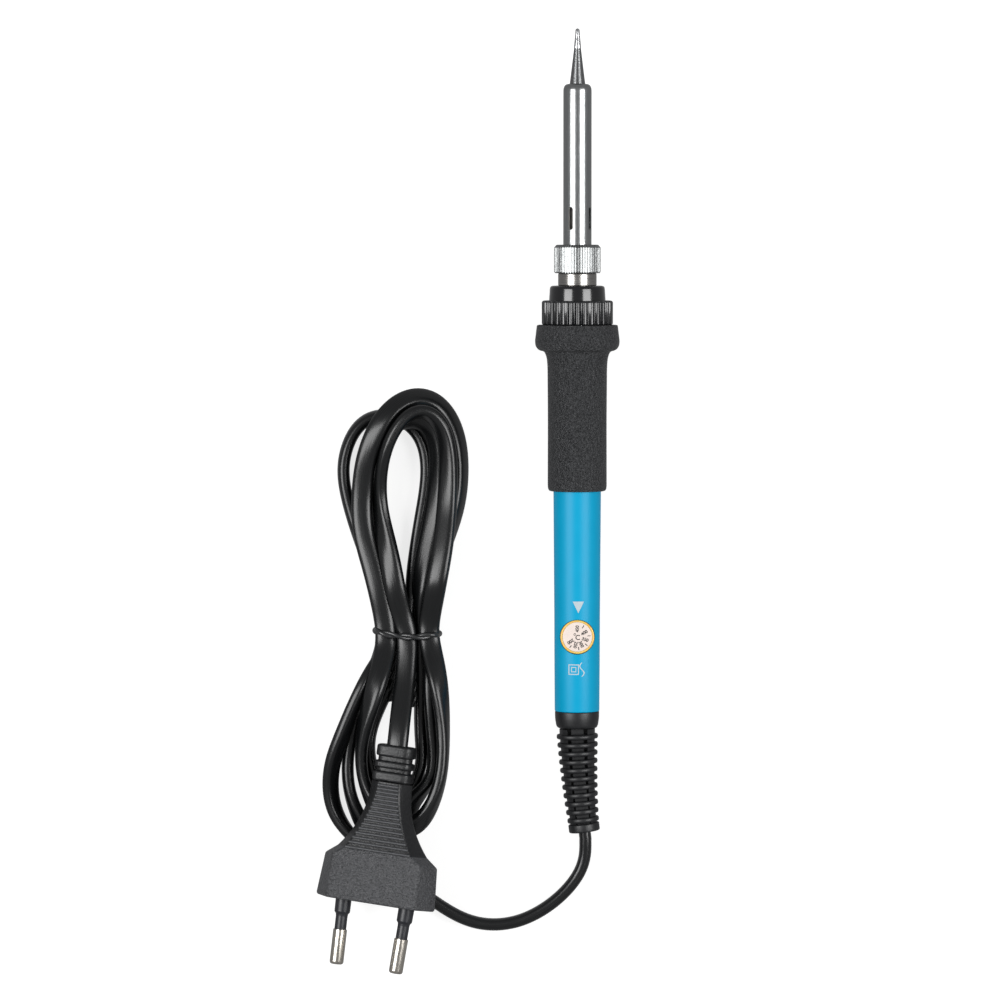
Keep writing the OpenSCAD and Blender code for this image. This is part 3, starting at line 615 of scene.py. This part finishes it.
def six_sided(side, face, thick, y):
    """Ring of the plug's six-sided section with softened corners, at y."""
    outline = [(-side, 0), (-face, thick), (face, thick), (side, 0), (face, -thick), (-face, -thick)]
    return [(p.x, y, p.y) for p in rounded([(*corner, EDGE_TRIM) for corner in outline], steps=4)]


def wedge(u):
    """Half sizes of the wedge, with u from 0 at the body to 1 at the collar."""
    return [small + more * (1 - u) ** power for small, more, power in (SIDE_SWELL, FACE_SWELL, THICK_SWELL)]


rings = [six_sided(side, face, thick, y) for y, side, face, thick in PLUG_PROFILE]
for k in range(WEDGE_STEPS + 1):
    u = k / WEDGE_STEPS
    rings.append(six_sided(*wedge(u), PLUG_BODY_LEN + WEDGE_LEN * u))
plug_body = mesh_of("plug body", *skin(rings), at=PLUG, sharp=28)


def band(y, length, wide, thick, trim):
    """Soft-edged oblong ring of the plug's collar."""
    rings = []
    edge = ((0, 0.55), (0.12, 0.25), (0.4, 0.04), (0.7, 0))
    for at, shrink in edge + tuple((length - at, shrink) for at, shrink in reversed(edge)):
        w = wide / 2 - shrink
        t = thick / 2 - shrink
        outline = rounded([(-w, -t, trim), (w, -t, trim), (w, t, trim), (-w, t, trim)])
        rings.append([(p.x, y + at, p.y) for p in outline])
    return mesh_of("band", *skin(rings), at=PLUG)


collar_y = PLUG_BODY_LEN + WEDGE_LEN
bands = [band(collar_y - 0.5, COLLAR_LEN, 9.8, 4.8, 2.2)]
bands += [band(collar_y + start, length, wide, 8.4, 2.6)
          for start, length, wide in ((0.2, 2.9, 11.2), (4, 2.1, 10.9), (7.3, 3.4, 10.7))]

# Ribs across the faces of the wedge, closer together towards the collar
RIB_CROWDING = 0.22
RIB_PROUD = 0.12
RIB_SHORT = 0.2
rib_tree, rib_in = new_tree("ribs on a wedge", {"Count": 16, "Length": 19.2, "Rib Radius": 0.45})
put = partial(add, rib_tree)
row = put("GeometryNodeMeshLine", inputs={"Count": rib_in["Count"]})
index = put("GeometryNodeInputIndex")
share = put(MATH, OVER, [index, put(MATH, MINUS, [rib_in["Count"], 0.4])])
crowded = put(MATH, TIMES, [put(MATH, TIMES, [share, share]), RIB_CROWDING])
u_value = put(MATH, MINUS, [put(MATH, TIMES, [share, 1 + RIB_CROWDING]), crowded])
left_over = put(MATH, MINUS, [1.0, u_value])
thick_swell = put(MATH, TIMES, [put(MATH, POWER, [left_over, THICK_SWELL[2]]), THICK_SWELL[1]])
rib_height = put(MATH, PLUS, [thick_swell, THICK_SWELL[0] + RIB_PROUD])
rib_y = put(MATH, TIMES, [u_value, rib_in["Length"]])
rib_place = put("ShaderNodeCombineXYZ", inputs={"Y": rib_y, "Z": rib_height})
face_swell = put(MATH, TIMES, [put(MATH, POWER, [left_over, FACE_SWELL[2]]), FACE_SWELL[1]])
rib_width = put(MATH, PLUS, [face_swell, FACE_SWELL[0] - RIB_SHORT])
rib_row = put("GeometryNodeSetPosition", inputs={"Geometry": row, "Position": rib_place})
# a bar two long, so that its scale is half its width
rib_bar = put("GeometryNodeMeshCylinder",
              inputs={"Vertices": 16, "Depth": 2.0, "Radius": rib_in["Rib Radius"]})
rib_lying = put("GeometryNodeTransform", inputs={"Rotation": (0, pi / 2, 0), "Geometry": rib_bar})
rib_size = put("ShaderNodeCombineXYZ", inputs={"Y": 1.0, "Z": 1.0, "X": rib_width})
rib_set = put("GeometryNodeInstanceOnPoints",
              inputs={"Points": rib_row, "Instance": rib_lying, "Scale": rib_size})
close_tree(rib_tree, rib_in, rib_set)
blank = bpy.data.meshes.new("blank")
ribs = grown(blank, rib_tree, plug_pvc)
lower_ribs = ribs.copy()
on_wedge = PLUG @ Matrix.Translation((0, PLUG_BODY_LEN + 0.2, 0))
moved(ribs, on_wedge)
moved(lower_ribs, on_wedge @ Matrix.Rotation(pi, 4, "Y"))
plug = shown("plug", joined("plug", [plug_body] + bands), plug_pvc, stands_for=("plug_body",))
plug.data.materials.append(plug_grit)
for side in plug.data.polygons:
    side.material_index = int((PLUG.inverted() @ side.center).y < PLUG_BODY_LEN)
# the ribs take the paler PVC, a painted highlight for light on their tops
plug_ribs = shown("plug_ribs", smoothed(joined("plug ribs", [ribs, lower_ribs]), 40), rib_pvc_painted_highlight)

metal, sleeves = [], []
for side in (-1, 1):
    pin_at = (PLUG @ Matrix.Translation((side * PIN_PITCH / 2, 0, 0))
              @ Matrix.Rotation(-side * PIN_SPLAY, 4, "Z") @ Matrix.Rotation(pi / 2, 4, "X"))
    metal.append(lathe("pin", [(0, 9, 0), (PIN_R, 9, 0), (PIN_R, 10, 0), (PIN_R, PIN_LEN, 0.9),
                               (0, PIN_LEN, 0)], pin_at, 64, closed=False))
    sleeves.append(lathe("pin sleeve", [(0, -0.6, 0), (2.3, -0.6, 0), (2.25, 4, 0.25), (1.8, 4.5, 0.2),
                                        (1.7, 5.2, 0.1), (1.7, 9.6, 0.15), (0, 9.6, 0)], pin_at, 64,
                         closed=False))
pins = shown("pins", joined("pins", metal), pin_nickel, stands_for=("plug_pins",))
pin_sleeves = shown("pin_sleeves", joined("pin sleeves", sleeves), pin_nylon,
                    stands_for=("pin_insulation",))

# -------- twist tie

tie_tree, tie_in = new_tree("twisted pair", {"Turns": 14.0, "Wire Radius": 0.62, "Lay Radius": 0.44})
put = partial(add, tie_tree)
tie_path = put("GeometryNodeMeshToCurve", inputs={"Mesh": tie_in["Geometry"]})
tie_fine = put("GeometryNodeResampleCurve", inputs={"Count": 420, "Curve": tie_path})
factor = put("GeometryNodeSplineParameter").outputs["Factor"]
tangent = put("GeometryNodeInputTangent")
up_dir = put("GeometryNodeInputNormal")
side_dir = put(VECTOR_MATH, {"operation": "CROSS_PRODUCT"}, {0: tangent, 1: up_dir})
wire_round = put("GeometryNodeCurvePrimitiveCircle",
                 inputs={"Resolution": 10, "Radius": tie_in["Wire Radius"]})
both = put("GeometryNodeJoinGeometry")
for phase in (0.0, pi):
    angle = put(MATH, PLUS, [put(MATH, TIMES, [put(MATH, TIMES, [factor, tie_in["Turns"]]), tau]), phase])
    parts = []
    for operation, direction in ((COSINE, up_dir), (SINE, side_dir)):
        size = put(MATH, TIMES, [put(MATH, operation, [angle]), tie_in["Lay Radius"]])
        parts.append(put(VECTOR_MATH, {"operation": "SCALE"}, {0: direction, "Scale": size}))
    offset = put(VECTOR_MATH, PLUS, {0: parts[0], 1: parts[1]})
    strand = put("GeometryNodeSetPosition", inputs={"Geometry": tie_fine, "Offset": offset})
    wire = put("GeometryNodeCurveToMesh",
               inputs={"Fill Caps": True, "Curve": strand, "Profile Curve": wire_round})
    tie_tree.links.new(wire.outputs[0], both.inputs[0])
close_tree(tie_tree, tie_in, both)


def twisted(points, turns, closed):
    """Twisted pair along given points."""
    path = bpy.data.meshes.new("path")
    count = len(points)
    path.from_pydata(points, [(i, (i + 1) % count) for i in range(count if closed else count - 1)], [])
    return moved(grown(path, tie_tree, tie_pvc, Turns=turns), METRES)


# round the waist, a little slanted, and its two short ends
TIE_HALF_WIDE = 9.0
TIE_HALF_HIGH = 5.6
TIE_X = -48.7
TIE_HEIGHT = 5.4
TIE_LOWEST = 0.9
TIE_STEPS = 72
ROUNDNESS = 0.55
loop = []
for k in range(TIE_STEPS):
    c = cos(tau * k / TIE_STEPS)
    s = sin(tau * k / TIE_STEPS)
    x = TIE_HALF_WIDE * (abs(c) ** ROUNDNESS) * (1 if c > 0 else -1)
    z = TIE_HALF_HIGH * (abs(s) ** ROUNDNESS) * (1 if s > 0 else -1)
    loop.append((TIE_X + x, WAIST_Y - 0.9 + 0.016 * (x - 1.5) ** 2, max(TIE_LOWEST, TIE_HEIGHT + z)))
ends_of_tie = [
    [(-51.6, -58.2, 4.6), (-51.8, -61.5, 4.6), (-52.3, -66.5, 5), (-53.2, -72, 5.4), (-53.5, -77, 5.2)],
    [(-47, -59.4, 5), (-46.8, -63.5, 5), (-46.6, -69, 5.2), (-46.7, -74.5, 5.4), (-46.9, -78.6, 5.2)]]
ring_and_ends = [twisted(loop, 5.0, True)] + [twisted(p, 3.0, False) for p in ends_of_tie]
tie = shown("wire_tie", smoothed(joined("twist tie", ring_and_ends), 50), tie_pvc,
            stands_for=("twist_tie",))

# -------- handle, dial and prints

handle = lathe("handle", [(HANDLE_BORE_R, 0, 0.2), (HANDLE_REAR_R, 0, 0.35), (6.5, 16, 0), (6.53, 27, 0),
                          (HANDLE_FRONT_R, HANDLE_LEN, 0), (HANDLE_FRONT_R, TUBE_END, 0),
                          (HANDLE_BORE_R, TUBE_END, 0)], steps=160)
hole = lathe("hole", [(0, 2, 0), (5, 2, 0), (5, 12, 0), (0, 12, 0)], DIAL_UP, 96, closed=False)
shown("blue_handle", cut_away(handle, [hole]), blue_abs, stands_for=("handle",))

knob = lathe("dial knob", [(1.55, 2.15, 0), (4.85, 2.15, 0.2), (4.85, 5.9, 0.3), (4.28, 5.9, 0.12),
                           (4.28, 5.35, 0), (1.55, 5.35, 0)], DIAL_UP, 96)
shown("amber_knob", knob, amber, "dial", ("dial_knob",))
face = lathe("dial face", [(0, 5.38, 0), (4.24, 5.38, 0), (4.24, 5.76, 0.12), (0, 5.84, 0)], DIAL_UP, 96,
             closed=False)
shown("white_face", face, dial_white, "dial", ("dial_face",))

# Numbers read outwards from the middle of the face, with a short stroke between each two
marks = []
DIAL_NUMBERS = {"450": 0, "400": 59, "350": 109, "300": 153, "250": 194, "200": 237}
FACE_TOP = 5.83
INK_FOOT = FACE_TOP - 0.05
INK_TOP = FACE_TOP + 0.02
INK_THICK = 0.03
INK_SPREAD = 0.03
NUMBER_SIZE = 1.3
NUMBER_START = 1.35


def lettering(text, size, at):
    """Thin raised text, as a mesh."""
    letters = bpy.data.curves.new("letters", "FONT")
    letters.body = text
    letters.size = size
    letters.extrude = INK_THICK
    letters.offset = INK_SPREAD
    letters.align_y = "CENTER"
    return moved(baked(placed("letters", letters)), at)


def block(low, high, at):
    """Small oblong block between two corners."""
    rings = [[(low[0], low[1], z), (high[0], low[1], z), (high[0], high[1], z), (low[0], high[1], z)]
             for z in (low[2], high[2])]
    return mesh_of("block", *skin(rings), at=at)


azimuths = list(DIAL_NUMBERS.values())
for text, azimuth in DIAL_NUMBERS.items():
    spin = DIAL_UP @ Matrix.Rotation(radians(90 - azimuth), 4, "Z")
    marks.append(lettering(text, NUMBER_SIZE, spin @ Matrix.Translation((NUMBER_START, 0, FACE_TOP))))
for first, second in zip(azimuths, azimuths[1:]):
    spin = DIAL_UP @ Matrix.Rotation(radians(90 - (first + second) / 2), 4, "Z")
    marks.append(block((2.9, -0.1, INK_FOOT), (3.8, 0.1, INK_TOP), spin))
marks.append(lettering("C", 2.0, DIAL_UP @ Matrix.Translation((-0.6, -0.2, FACE_TOP))))
degree_at = DIAL_UP @ Matrix.Translation((-0.75, 0.75, 0))
marks.append(lathe("degree", [(0.2, INK_FOOT, 0), (0.34, INK_FOOT, 0), (0.34, INK_TOP, 0), (0.2, INK_TOP, 0)],
                   degree_at, 20))
shown("dial_numbers", joined("dial numbers", marks), black_ink, "dial")


def printed(outline_rows):
    """Print on the handle: rows of (z, left x, right x), laid on the round surface."""
    rings = []
    for z, left, right in outline_rows:
        radius = HANDLE_REAR_R + (HANDLE_FRONT_R - HANDLE_REAR_R) * z / HANDLE_LEN
        ring = []
        for proud, order in ((0.035, range(7)), (-0.06, range(6, -1, -1))):
            for k in order:
                x = left + (right - left) * k / 6
                ring.append((x, -sqrt((radius + proud) ** 2 - x * x), z))
        rings.append(ring)
    return mesh_of("print", *skin(rings), at=LAID)


# an arrow that points at the dial, with its foot forward
ARROW_TOP = 31.9
ARROW_LEN = 3.3
ARROW_X = 0.25
ARROW_HALF = 1.6
arrow = []
for k in range(9):
    half = ARROW_HALF * (1 - k / 8) + 0.02
    arrow.append((ARROW_TOP - ARROW_LEN * k / 8, ARROW_X - half, ARROW_X + half))
prints = [printed(arrow)]
# two nested squares and a wave stand for double insulation and alternating current
MARK_X = -1.05
MARK_Z = 12.4
for size, width in ((1.5, 0.28), (0.75, 0.24)):
    for low, high in ((-size, -size + width), (size - width, size)):
        prints.append(printed([(MARK_Z + z, MARK_X - size, MARK_X + size) for z in (low, high)]))
        prints.append(printed([(MARK_Z + z, MARK_X + low, MARK_X + high) for z in (-size, size)]))
WAVE_X = 1.3
WAVE_SWING = 0.62
WAVE_HALF_LEN = 2
WAVE_HALF_WIDE = 0.17
wave_rows = []
for k in range(21):
    x = WAVE_X + WAVE_SWING * sin(tau * k / 20)
    wave_rows.append((MARK_Z + WAVE_HALF_LEN * (k / 10 - 1), x - WAVE_HALF_WIDE, x + WAVE_HALF_WIDE))
prints.append(printed(wave_rows))
shown("handle_prints", joined("handle prints", prints), white_ink)

# -------- grip

grip_line = [(GRIP_BORE_R, HANDLE_LEN, 0.3), (GRIP_R, HANDLE_LEN, 1.8), (8.4, 84, 6), (8.52, 99, 1.5),
             (8.75, 101.4, 0.8), (9.4, 103.1, 0.6), (11.1, 103.5, 0.7), (12, 104.7, 0.8),
             (BULGE_R, BULGE_Z, 0.6), (11.55, GRIP_TOP, 0.4), (9.05, GRIP_TOP, 0.2), (9.05, 107.3, 0),
             (GRIP_BORE_R, 103.7, 0)]
shown("rubber_grip", lathe("grip", grip_line, steps=160), rubber, stands_for=("grip",))

# -------- ribbed ring, collar, nipple and nut

# Shapes the outside of a turned ring into teeth and flats
tooth_tree, tooth_in = new_tree("teeth round a ring", {
    "Teeth": 30.0, "Depth": 0.6, "Sharpness": 3.0, "Inner": 9.3, "Flat Distance": 99.0, "Flats": 3.0,
    "Turn": 0.0})
put = partial(add, tooth_tree)
place = put("GeometryNodeInputPosition")
xyz = put("ShaderNodeSeparateXYZ", inputs={0: place})
squares = [put(MATH, TIMES, [xyz.outputs[i], xyz.outputs[i]]) for i in (0, 1)]
radius = put(MATH, ROOT, [put(MATH, PLUS, squares)])
around = put(MATH, ARCTAN2, [xyz.outputs[1], xyz.outputs[0]])
wave = put(MATH, COSINE, [put(MATH, TIMES, [around, tooth_in["Teeth"]])])
dip = put(MATH, POWER, [put(MATH, TIMES, [put(MATH, PLUS, [wave, 1.0]), 0.5]), tooth_in["Sharpness"]])
outside = put(MATH, ABOVE, [radius, tooth_in["Inner"]])
cut_depth = put(MATH, TIMES, [put(MATH, TIMES, [dip, tooth_in["Depth"]]), outside])
toothed = put(MATH, MINUS, [radius, cut_depth])
slice_angle = put(MATH, OVER, [tau, tooth_in["Flats"]])
from_flat = put(MATH, MINUS, [around, tooth_in["Turn"]])
nearest_flat = put(MATH, ROUND, [put(MATH, OVER, [from_flat, slice_angle])])
folded = put(MATH, MINUS, [from_flat, put(MATH, TIMES, [slice_angle, nearest_flat])])
flat_radius = put(MATH, OVER, [tooth_in["Flat Distance"], put(MATH, COSINE, [folded])])
limited = put(MATH, LEAST, [toothed, put(MATH, UNSIGNED, [flat_radius])])
scale = put(MATH, OVER, [limited, radius])
new_x, new_y = [put(MATH, TIMES, [xyz.outputs[i], scale]) for i in (0, 1)]
bent = put("ShaderNodeCombineXYZ", inputs={"X": new_x, "Y": new_y, "Z": xyz.outputs[2]})
shaped = put("GeometryNodeSetPosition", inputs={"Geometry": tooth_in["Geometry"], "Position": bent})
close_tree(tooth_tree, tooth_in, shaped)
HERE = Matrix.Identity(4)

ring_blank = lathe("ring", [(9.1, RING_Z, 0), (9.9, RING_Z, 0), (10.2, RING_Z + 0.3, 0),
                            (10.2, RING_TOP - 1.3, 0), (10.2, RING_TOP, 1.2), (8.15, RING_TOP, 0.15),
                            (8.15, RING_TOP - 1, 0), (9.1, RING_TOP - 1, 0)], HERE, 600)
ring = grown(ring_blank, tooth_tree, nylon, Teeth=30.0, Depth=0.62, Sharpness=1.6, Inner=9.4)
shown("ribbed_ring", smoothed(moved(ring, LAID), 40), nylon, "lock_ring_body",
      ("lock_ring",))

collar = lathe("collar", [(4.65, 114.8, 0), (8.95, 114.8, 0), (8.95, 116.1, 0), (8.05, 116.3, 0),
                          (8.05, 118, 0), (7.8, NECK_TOP, 0.9), (5.2, NECK_TOP, 0.1),
                          (4.65, NECK_TOP - 0.2, 0)])
shown("glossy_collar", collar, bakelite, stands_for=("heater_collar",))

nipple_line = [(3.5, 115.1, 0), (4.6, 115.1, 0), (4.6, NECK_TOP, 0), (5.5, NECK_TOP + 0.02, 0.25),
               (5.5, 125.4, 0.35)]
for k in range(5):
    nipple_line += [(5.1, 125.5 + k, 0.1), (4.85, 125.95 + k, 0.1)]
nipple_line += [(5.1, 130.6, 0.2), (4.7, NIPPLE_TOP, 0), (3.5, NIPPLE_TOP, 0)]
shown("threaded_nipple", lathe("nipple", nipple_line), nickel, stands_for=("nipple",))

nut_blank = lathe("nut", [(5.2, NUT_Z, 0), (6.35, NUT_Z, 0), (6.65, NUT_Z + 0.35, 0.1),
                          (6.65, NUT_TOP - 0.8, 0.1), (5.95, NUT_TOP, 0.15), (4.15, NUT_TOP, 0.25),
                          (4.15, 132, 0), (5.2, 132, 0)], HERE, 1020)
nut = grown(nut_blank, tooth_tree, chrome, Teeth=51.0, Depth=0.4, Sharpness=1.2, Inner=5.9,
            Flat_Distance=6.2, Flats=1.0, Turn=radians(-114))
nut = grown(nut, tooth_tree, chrome, Teeth=1.0, Depth=0.0, Inner=5.9, Flat_Distance=6.35, Flats=1.0,
            Turn=radians(-70))
shown("knurled_nut", smoothed(moved(nut, LAID), 24), chrome, "nut", ("sleeve_nut",))

# -------- sleeve and tip

SLOT_TURN = -118.6
SLOT_Z = SLEEVE_Z + 10.1
SLOT_HALF_WIDE = 0.7
SLOT_HALF_LONG = 3.25
sleeve = lathe("sleeve", [(3.45, SLEEVE_Z, 0), (4.9, SLEEVE_Z, 0.1), (4.9, SLEEVE_Z + 0.8, 0.1),
                          (SLEEVE_R, SLEEVE_Z + 0.8, 0.1), (SLEEVE_R, SLEEVE_TOP - 1.3, 0.8),
                          (3.6, SLEEVE_TOP - 0.32, 0.7), (2.8, SLEEVE_TOP, 0.3), (2.45, SLEEVE_TOP, 0.15),
                          (2.45, SLEEVE_TOP - 1.5, 0), (3.45, SLEEVE_TOP - 1.5, 0)], steps=160)
slots = []
for quarter in range(4):
    turned = (LAID @ Matrix.Rotation(radians(90 * quarter + SLOT_TURN), 4, "Z")
              @ Matrix.Translation((0, 0, SLOT_Z)))
    outline = rounded([(x * SLOT_HALF_WIDE, y * SLOT_HALF_LONG, SLOT_HALF_WIDE)
                       for x, y in ((-1, -1), (1, -1), (1, 1), (-1, 1))], steps=8)
    slots.append(mesh_of("slot", *skin([[(x, p.x, p.y) for p in outline] for x in (2.6, 6)]), at=turned))
shown("steel_sleeve", cut_away(sleeve, slots), steel, "sleeve", ("tip_sleeve",))

tip = lathe("tip", [(0, 151.4, 0), (3.1, 151.4, 0.3), (3.1, 177.4, 0.3), (2.275, 177.6, 0),
                    (2.275, SLEEVE_TOP - 0.4, 0.2), (0.98, 189.6, 0), (0.5, TIP_TOP - 0.3, 0.25),
                    (0, TIP_TOP - 0.04, 0.2)], closed=False)
tinning = lathe("tinning", [(0, 189.4, 0), (1.0, 189.5, 0.1), (0.98, 190.4, 0.3), (0.76, 192.6, 0.5),
                            (0.58, TIP_TOP - 0.22, 0.3), (0, TIP_TOP + 0.03, 0.2)], closed=False, steps=96)
shown("pointed_tip", tip, plated, "tip_body", ("tip",))
shown("tip_tinning", tinning, tinned, "tip_body")

# -------- strain relief

BOOT_RIBS = 11
RIB_PITCH = 2.4
COLLAR_Z = 4.85
BOOT_BEND = 2.2
# Radius of the core and half width of its window at the handle, and how much less they are at the end
CORE_R = (5.1, 1.4)
WINDOW = (2.9, 0.8)
CHEEK_HALF = 0.9
LEDGE_HALF = 0.8
ARC_STEPS = 8


def on_boot(d):
    """Place on the strain relief, d from the handle: it bends a little aside towards its end."""
    k = max(d, 0) / BOOT_LEN
    return (Matrix.Translation((BOOT_BEND * k * k, 0, -d))
            @ Matrix.Rotation(-atan(2 * BOOT_BEND * k / BOOT_LEN), 4, "Y"))


# Ribs on a path: a ring on each point of the line, its size and tilt carried by the points
boot_tree, boot_in = new_tree("ribs on a strain relief", {
    "Count": BOOT_RIBS, "First": COLLAR_Z + RIB_PITCH, "Pitch": RIB_PITCH, "Bend": BOOT_BEND,
    "Length": BOOT_LEN, "Wide": 5.95, "Narrow": 4.55})
put = partial(add, boot_tree)
boot_row = put("GeometryNodeMeshLine", inputs={"Count": boot_in["Count"]})
number = put("GeometryNodeInputIndex")
distance = put(MATH, PLUS, [put(MATH, TIMES, [number, boot_in["Pitch"]]), boot_in["First"]])
portion = put(MATH, OVER, [distance, boot_in["Length"]])
shift = put(MATH, TIMES, [put(MATH, TIMES, [portion, portion]), boot_in["Bend"]])
rib_spot = put("ShaderNodeCombineXYZ", inputs={"X": shift, "Z": put(MATH, TIMES, [distance, -1.0])})
boot_points = put("GeometryNodeSetPosition", inputs={"Geometry": boot_row, "Position": rib_spot})
rise = put(MATH, TIMES, [put(MATH, TIMES, [portion, 2.0]), boot_in["Bend"]])
slope = put(MATH, ARCTAN, [put(MATH, OVER, [rise, boot_in["Length"]])])
tilt = put("ShaderNodeCombineXYZ", inputs={"Y": put(MATH, TIMES, [slope, -1.0])})
rib_share = put(MATH, OVER, [number, put(MATH, MINUS, [boot_in["Count"], 1.0])])
narrowing = put(MATH, MINUS, [boot_in["Narrow"], boot_in["Wide"]])
rib_radius = put(MATH, PLUS, [boot_in["Wide"], put(MATH, TIMES, [narrowing, rib_share])])
rib_scale = put("ShaderNodeCombineXYZ", inputs={"Z": 1.0, "X": rib_radius, "Y": rib_radius})
boot_rib = put("GeometryNodeInstanceOnPoints",
               inputs={"Points": boot_points, "Instance": boot_in["Geometry"], "Scale": rib_scale,
                       "Rotation": tilt})
close_tree(boot_tree, boot_in, boot_rib)
rib_blank = lathe("rib", [(0.55, -0.55, 0), (0.86, -0.78, 0.05), (0.97, -0.6, 0.06), (1, -0.25, 0.2),
                          (1, 0.25, 0.2), (0.97, 0.6, 0.06), (0.86, 0.78, 0.05), (0.55, 0.55, 0)], HERE, 72,
                  sharp=60)
boot_ribs = moved(grown(rib_blank, boot_tree, relief_pvc), LAID)
boot_parts = [boot_ribs, lathe("boot collar", [(3, -0.05, 0), (6.35, -0.05, 0.25), (6.3, -2.2, 0.8),
                                               (5.95, -4.3, 0.8), (5.4, -4.85, 0.4), (3, -4.85, 0)])]
# a core with a window between each two ribs, closed half way down by a ledge against the lead
for k in range(BOOT_RIBS + 1):
    place = LAID @ on_boot(COLLAR_Z + RIB_PITCH * (k + 0.5) - 0.1)
    core_r, window = (most - less * k / BOOT_RIBS for most, less in (CORE_R, WINDOW))
    high = sqrt(core_r ** 2 - window ** 2)
    limit = atan2(high, window)
    section = [(window, -high), (window, -LEDGE_HALF), (LEAD_HALF_THIN, -LEDGE_HALF),
               (LEAD_HALF_THIN, LEDGE_HALF), (window, LEDGE_HALF), (window, high)]
    for j in range(ARC_STEPS + 1):
        a = limit - 2 * limit * j / ARC_STEPS
        section.append((core_r * cos(a), core_r * sin(a)))
    for side in (-1, 1):
        cheek = [[(side * x, y, z) for x, y in section] for z in (-CHEEK_HALF, CHEEK_HALF)]
        boot_parts.append(mesh_of("cheek", *skin(cheek), at=place))
boot_parts.append(lathe("boot end", [(3.1, -1.2, 0), (4.45, -1.2, 0.5), (4.45, 1.2, 0.5), (3.1, 1.2, 0)],
                        LAID @ on_boot(BOOT_LEN - 1.2), 96))
shown("ribbed_relief", smoothed(joined("strain relief", boot_parts), 40), relief_pvc,
      stands_for=("strain_relief",))

# -------- pieces inside, as the frame has them

INSIDE = {"heater_bush": ceramic, "heater_rod": ceramic, "circuit_board": board, "potentiometer": blue_case,
          "indicator_led": red_lens, "triac": black_chip, "diac": violet_glass, "capacitor": yellow_film,
          "resistors": tan_lacquer, "heater_leads": solder, "lead_sleeving": glass_sleeving,
          "solder_joints": solder, "mains_wires": brown_pvc, "cord_clamp": white_nylon,
          "cord_in_relief": relief_pvc}
for name, material in INSIDE.items():
    nodes[name].data.materials.clear()
    nodes[name].data.materials.append(material)

# -------- floor

FLOOR_HALF = 6
pale_floor = finish("frosted acrylic light table, pale", ("9a9a99", "9f9f9e"), (0.8, 0.9), 60, 0,
                    shader={"Emission Color": (1, 1, 1, 1), "Emission Strength": 0.78})
floor_mesh = bpy.data.meshes.new("floor")
floor_mesh.from_pydata([(x * FLOOR_HALF, y * FLOOR_HALF, 0) for x, y in ((-1, -1), (1, -1), (1, 1),
                                                                         (-1, 1))], [], [(0, 1, 2, 3)])
floor_mesh.materials.append(pale_floor)
floor = placed("floor", floor_mesh)
floor.visible_glossy = False
floor.visible_diffuse = False
